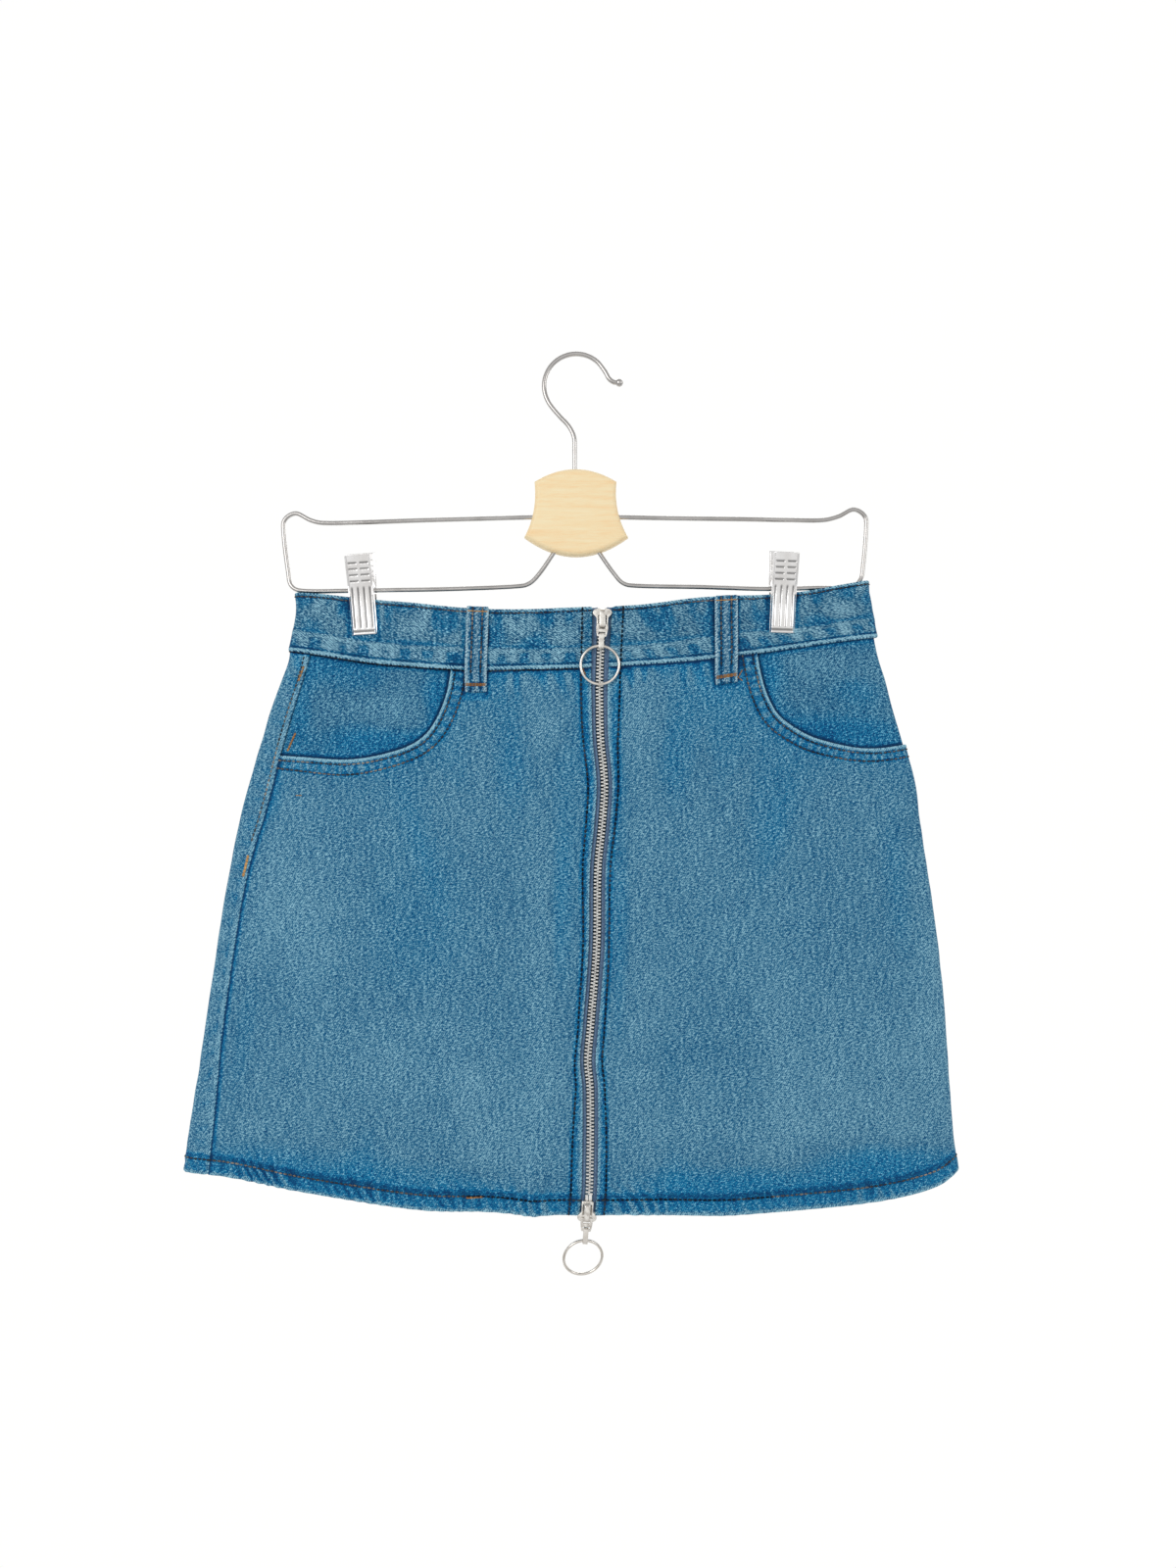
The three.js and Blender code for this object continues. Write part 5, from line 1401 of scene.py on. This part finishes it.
def slider_meshes(flip):
    """The heart-shaped plates, the neck, the bridge and the two side walls; flip is -1 upside down."""
    wide, narrow, long = 6.3, 3.8, 6.7
    heart = curved(
        ((narrow, -0.6), (narrow, 1.4), (wide, 2.0), (wide, 3.6)),
        ((wide, 3.6), (wide, 5.8), (4.2, long), (1.9, long)), (0.9, 5.9), (-0.9, 5.9),
        ((-1.9, long), (-4.2, long), (-wide, 5.8), (-wide, 3.6)),
        ((-wide, 3.6), (-wide, 2.0), (-narrow, 1.4), (-narrow, -0.6)), (-narrow, -long), (narrow, -long),
    )
    outline = [(u, v * flip) for u, v in heart]
    slots = [[(u + sign * 2.45, v * flip) for u, v in rounded_box(0.3, -4.6, 2.0, 0.25)] for sign in (-1, 1)]
    front = pressed([outline, *slots], 1.3, 0.45, UPRIGHT, (0, -2.15, 0), steps=4)
    back = pressed([outline], 1.1, 0.4, UPRIGHT, (0, 2.9, 0))
    neck = pressed([rounded_box(1.1, *sorted((4.0 * flip, 6.2 * flip)), 0.5)], 4.2, 0.1, UPRIGHT, (0, 0.3, 0))
    wall = rounded_box(0.55, *sorted((-6.3 * flip, 0.4 * flip)), 0.3)
    walls = [pressed([wall], 1.0, 0.15, UPRIGHT, (sign * 3.3, -1.1, 0)) for sign in (-1, 1)]
    face = SLIDER_FACE
    arch = curved(
        ((face + 0.4, 6.1), (face - 1.2, 6.0), (face - 2.9, 5.4), (face - 2.9, 3.2)),
        (face - 2.9, -4.6), ((face - 2.9, -5.1), (face - 2.6, -6.1), (face - 1.4, -6.2), (face + 0.4, -6.5)),
        (face + 0.4, -5.7), ((face - 0.9, -5.5), (face - 1.6, -5.4), (face - 1.9, -5.2), (face - 1.9, -4.7)),
        (face - 1.9, 3.0), ((face - 1.9, 4.2), (face - 1.2, 4.6), (face - 0.4, 4.7), (face + 0.4, 4.8)),
    )
    return [front, back, neck, pressed([arch], 3.4, 0.47, SIDEWAYS), *walls]


TAB_HALF = [
    (3.1, TAB_AXIS + 0.65), (3.55, TAB_AXIS + 0.45), (3.75, TAB_AXIS), (3.9, -6.4), (3.85, -7.2), (3.6, -9.2),
    (3.2, -11.6), (2.8, TAB_FOOT),
]
TAB_OUTLINE = [(-3.1, TAB_AXIS + 0.65), *TAB_HALF, *((-u, v) for u, v in TAB_HALF[:0:-1])]
# what is cut out of the tab: a long opening for the bridge and a slot for the band
TAB_OPENINGS = [rounded_box(2.2, -7.0, TAB_AXIS - 0.65, 0.5), rounded_box(2.25, -10.75, -9.2, 0.45)]
BAND_OUTLINE = rounded_box(2.0, RING_AXIS - 2.1, -9.75, 1.3)
BAND_OPENING = rounded_box(1.46, RING_AXIS - 1.4, -10.45, 0.7)
# the chain's foot: a pin and a box side by side over the lower slider, across and wide
CHAIN_FEET = [(7.0, 1.9), (9.35, 2.1)]
feet = [pressed([rounded_box(wide / 2, -556.6, -550.3, 0.4)], 2.3, 0.3, UPRIGHT, (x, 0, 0)) for x, wide in CHAIN_FEET]
chain_depth = cloth_middle(*on_front(np.array([8.2]), np.array([-553.5])))[0, 1]
chain_feet = joined("zip_pin_and_box", feet, moved(0, chain_depth, 0))
finish_piece(chain_feet, "body", teeth_metal, [])

LOWEST_CLOTH = -562
for end, across, up, lean, hang, upside_down, yaw, back in SLIDERS:
    angle, level = on_front(np.array([across]), np.array([max(up, LOWEST_CLOTH)]))
    body_place = moved(across, cloth_middle(angle, level)[0, 1], up) @ turned_by(lean, "Y")
    slider = joined("slider_" + end, slider_meshes(-1 if upside_down else 1), body_place)
    finish_piece(slider, "body", zip_metal, ["zip_slider_" + end])
    pull_place = body_place @ moved(0, TAB_DEPTH, TAB_AXIS) @ turned_by(hang - lean, "Y") @ moved(0, 0, -TAB_AXIS)
    tab = joined("tab_" + end, [pressed([TAB_OUTLINE, *TAB_OPENINGS], 1.2, 0.28, UPRIGHT)], pull_place)
    finish_piece(tab, "tab_" + end, zip_metal, ["pull_tab_" + end])
    link = joined("link_" + end, [pressed([BAND_OUTLINE, BAND_OPENING], 3.3, 0.2, SIDEWAYS)], pull_place)
    link_metal = ring_metal if upside_down else zip_metal
    finish_piece(link, "link_" + end, link_metal, ["pull_link_" + end])
    round_turn = np.linspace(0, 2 * math.pi, 97)[:-1]
    circle = [(RING_RADIUS * math.cos(t), 0, RING_RADIUS * (math.sin(t) - 1)) for t in round_turn]
    ring_place = pull_place @ moved(0, 0, RING_AXIS) @ turned_by(yaw, "Z") @ turned_by(back, "X")
    ring = joined("ring_" + end, [round_wire(circle, RING_WIRE, closed=True)], ring_place)
    finish_piece(ring, "ring_" + end, ring_metal, ["pull_ring_" + end])


# Hanger. A plated steel hook with a ball tip, screwed into a small pale wooden block, and two
# bent wires whose ends are set in the block's sides; the lower rails carry the clips.
HOOK_CENTRE = -19.7
HOOK_RADIUS = 21.3
HOOK_WIRE = 3.2
FRAME_WIRE = 3.0
BALL_RADIUS = 2.6
BALL_PLACE = (28.6, 0, -17.6)
BLOCK_THICKNESS = 11
BLOCK_ROUNDING = 3.4
round_hook = [math.radians(t) for t in range(28, 213, 23)]
HOOK = [
    # across, up, from the ball tip over the top and down into the block
    (28.6, -17.6), (24.6, -17.0), (21.6, -14.6),
    *((HOOK_RADIUS * math.cos(t), HOOK_CENTRE + HOOK_RADIUS * math.sin(t)) for t in round_hook),
    (-11.2, -39.6), (-4.9, -46.4), (-1.4, -54.0), (-1.0, -64), (-1.0, -88),
]
WIRES = {
    # across, up, from the block out, down round the corner and back
    "left": [
        (-17, -106.4), (-30, -106.8), (-66, -107.8), (-102, -108.8), (-140, -110.1), (-167, -110.6), (-176, -108.8),
        (-186, -104.2), (-193.4, -108.6), (-194, -118), (-191, -143), (-189, -152), (-182, -155.5), (-153, -155.6),
        (-117, -155), (-81, -154.3), (-40, -152.6), (-31, -150.6), (-24, -143.6), (-15, -130.6), (-11, -124.6),
    ],
    "right": [
        (17, -106.4), (30, -106.8), (66, -107.5), (107, -108), (140, -108.6), (163, -108.7), (174, -106.2),
        (184, -101.6), (191.4, -106.2), (192.2, -115), (190.2, -139), (188.4, -148), (182, -152.9), (157, -153.7),
        (127, -154.3), (100, -153.6), (81, -153), (40, -152.2), (31, -150.4), (24.6, -143.6), (15.4, -130.6),
        (11.4, -124.6),
    ],
}
bright_steel = metal("bright_steel", (0.95, 0.94, 0.93, 1), (0.84, 0.82, 0.80, 1), 0.2, 90)
wire_steel = metal("wire_steel", (0.60, 0.58, 0.56, 1), (0.50, 0.48, 0.46, 1), 0.2, 60, relief=0.00001)


def bent(points, count):
    """A line of places in the hanger's plane, smooth through the points."""
    line = along(points, count)
    return np.stack([line[:, 0], 0 * line[:, 0], line[:, 1]], axis=1)


ball = bmesh.new()
bmesh.ops.create_uvsphere(ball, u_segments=24, v_segments=16, radius=BALL_RADIUS * MM)
bmesh.ops.translate(ball, verts=ball.verts, vec=Vector(BALL_PLACE) * MM)
ball_mesh = bpy.data.meshes.new("ball")
ball.to_mesh(ball_mesh)
ball.free()
hook = joined("hook", [round_wire(bent(HOOK, 160), HOOK_WIRE), ball_mesh], moved(0, 0, 0))
finish_piece(hook, "body", wire_steel, ["hanger_hook"])
for side, points in WIRES.items():
    wire = joined("wire_" + side, [round_wire(bent(points, 320), FRAME_WIRE)], moved(0, 0, 0))
    finish_piece(wire, "body", wire_steel, ["hanger_wire_" + side])

BLOCK_CORNERS = [
    # corner, and the point that pulls the edge from it to the next into a curve
    ((-27.6, -83.9), (-0.5, -67.2)), ((26.7, -83.9), (24.6, -104)), ((34.3, -120.5), (0, -145.4)),
    ((-34.3, -120.5), (-25.4, -104)),
]
block_outline = []
for number, (corner, pull) in enumerate(BLOCK_CORNERS):
    start, pull, end = (np.array(p, float) for p in (corner, pull, BLOCK_CORNERS[(number + 1) % 4][0]))
    for t in np.linspace(0, 1, 19)[:-1]:
        block_outline.append(tuple((1 - t) ** 2 * start + 2 * t * (1 - t) * pull + t * t * end))
wood, tree = new_finish("pale_wood")
grain_turn = (0, math.radians(2), 0)
grain = noise(tree, own_place(tree), detail=5.0, roughness=0.6, stretch=(26, 420, 420), turn=grain_turn)
pores = noise(tree, own_place(tree), stretch=(160, 1700, 1700))
grain_tone = calculate(tree, "MULTIPLY_ADD", pores, 0.35, calculate(tree, "MULTIPLY", grain, 0.75))
WOOD_COLOURS = [(0.3, paint(255, 213, 156)), (0.55, paint(255, 230, 182)), (0.8, paint(255, 241, 200))]
surface(tree, {
    "Base Color": ramp(tree, grain_tone, WOOD_COLOURS), "Roughness": 0.55,
    "Normal": uneven_face(tree, grain_tone, 0.25, 0.0001), "Coat Weight": 0.15, "Coat Roughness": 0.35,
})
block_form = pressed([block_outline], BLOCK_THICKNESS, BLOCK_ROUNDING, UPRIGHT, steps=8)
block = joined("wood_block", [block_form], moved(0, 0, 0))
finish_piece(block, "body", wood, ["hanger_block"])


# Clips. Two pressed steel plates on the rail at each side, the front one embossed with short
# bars over long flutes, with folded flanges and ears, and a coil spring between the ears.
CLIPS = [
    # side, across, up, lean in degrees
    ("left", -141.7, -155.4, -3.9), ("right", 137.0, -154.2, 2.0),
]
PLATE_HALF = 8.2
PLATE_SHEET = 1.0
PLATE_RELIEF = 0.42
PLATE_LINE = [(-6.7, 0), (-5.1, -10), (-4.3, -21), (-3.85, -29.3)]  # out, up, below its knee
FLANGE = 1.9
FLUTES = (-5.8, -1.9, 2.0, 5.9)
BAR_ROWS = 4
BAR_PITCH = 3.8  # of the short bars, up and across
EAR = [
    (-7.0, 5.4), (-6.2, -4.4), (-3.4, -4.0), (-2.2, -2.7), (1.4, -2.7), (2.4, -2.0), (2.8, -1.2), (2.8, 1.2),
    (2.4, 2.0), (1.4, 2.8),
]
EAR_BORE = 2.2
COIL_TURNS = 9
COIL_HALF = 4.8
COIL_RADIUS = 2.3
COIL_WIRE = 0.75


def clip_plate(top_y, top_z, knee, ear_x):
    """A pressed plate from its handle's top to the jaw, with the two ears that the rail goes through."""
    line = along([(-top_y - 0.5, top_z), (-knee, 10.5), *PLATE_LINE], 150)
    bend = np.gradient(line, axis=0)
    bend /= np.linalg.norm(bend, axis=1, keepdims=True)
    into = np.stack([-bend[:, 1], bend[:, 0]], 1)
    into *= np.sign(into[:, :1])
    across = np.linspace(-PLATE_HALF, PLATE_HALF, 75)
    inset = PLATE_HALF - np.abs(across)
    u, v = np.meshgrid(across, line[:, 1])
    # embossed: a bar over the jaw, rows of short bars on the handle, long flutes between
    grooves = bump(v + 27.4, 0.7) * (1 - ease(np.abs(u), 6.6, 7.4))
    for row in range(BAR_ROWS):
        for column in (-1, 1):
            above, beside = v - (top_z - 5.4 - BAR_PITCH * row), np.abs(u - column * BAR_PITCH)
            grooves = np.maximum(grooves, bump(above, 0.5) * (1 - ease(beside, 2.5, 3.1)))
    flute_zone = ease(v, -26.0, -24.6) * (1 - ease(v, 0.0, 2.0))
    for place in FLUTES:
        grooves = np.maximum(grooves, bump(u - place, 0.55) * flute_zone)
    relief = (1 - grooves) * PLATE_RELIEF * ease(inset, 0.6, 1.2)[None, :]
    flange = FLANGE * bump(inset, 0.75) * (1 - ease(np.abs(line[:, 1] + 14.5), 14.2, 15.0) * 0.9)[:, None]
    faces = []
    for depth in (PLATE_RELIEF - relief + flange * 0.55, PLATE_SHEET + flange * 0.55 - relief * 0.3):
        y, z = (line[:, c:c + 1] + into[:, c:c + 1] * depth for c in (0, 1))
        faces.append(np.stack([u, y, z], axis=-1)[:, ::-1])
    # the plate's points carry painted shade in the embossed grooves, which the metal's finish darkens
    plate = closed_sheet("plate", *faces, shade=-grooves[:, ::-1])
    mesh = plate.data
    bpy.data.objects.remove(plate)
    bore = [(EAR_BORE * math.cos(t), EAR_BORE * math.sin(t)) for t in np.linspace(0, 2 * math.pi, 25)[:-1]]
    ears = [pressed([EAR, bore], PLATE_SHEET, 0.12, SIDEWAYS, (side * ear_x, 0, 0)) for side in (-1, 1)]
    return [mesh, *ears]


for side, across, up, lean in CLIPS:
    place = moved(across, 0, up) @ turned_by(lean, "Y")
    front_plate = joined("clip_plate_front_" + side, clip_plate(12, 21.7, 9.6, 7.7), place)
    finish_piece(front_plate, "body", bright_steel, ["clip_front_" + side])
    back_plate = joined("clip_plate_back_" + side, clip_plate(10.6, 26.5, 9.0, 6.4), place @ turned_by(180, "Z"))
    finish_piece(back_plate, "body", bright_steel, ["clip_back_" + side])
    turns = np.linspace(0, 2 * math.pi * COIL_TURNS, COIL_TURNS * 28)
    windings = [np.linspace(-COIL_HALF, COIL_HALF, len(turns)), COIL_RADIUS * np.cos(turns), COIL_RADIUS * np.sin(turns)]
    spring = joined("clip_coil_" + side, [round_wire(np.stack(windings, axis=1), COIL_WIRE, steps=2)], place)
    finish_piece(spring, "body", bright_steel, ["clip_spring_" + side])


# The CAD's box and the dressed part's box, to set side by side.
size = {"cad": [list(corner) for corner in cad_box], "visual": [list(corner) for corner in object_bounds()]}
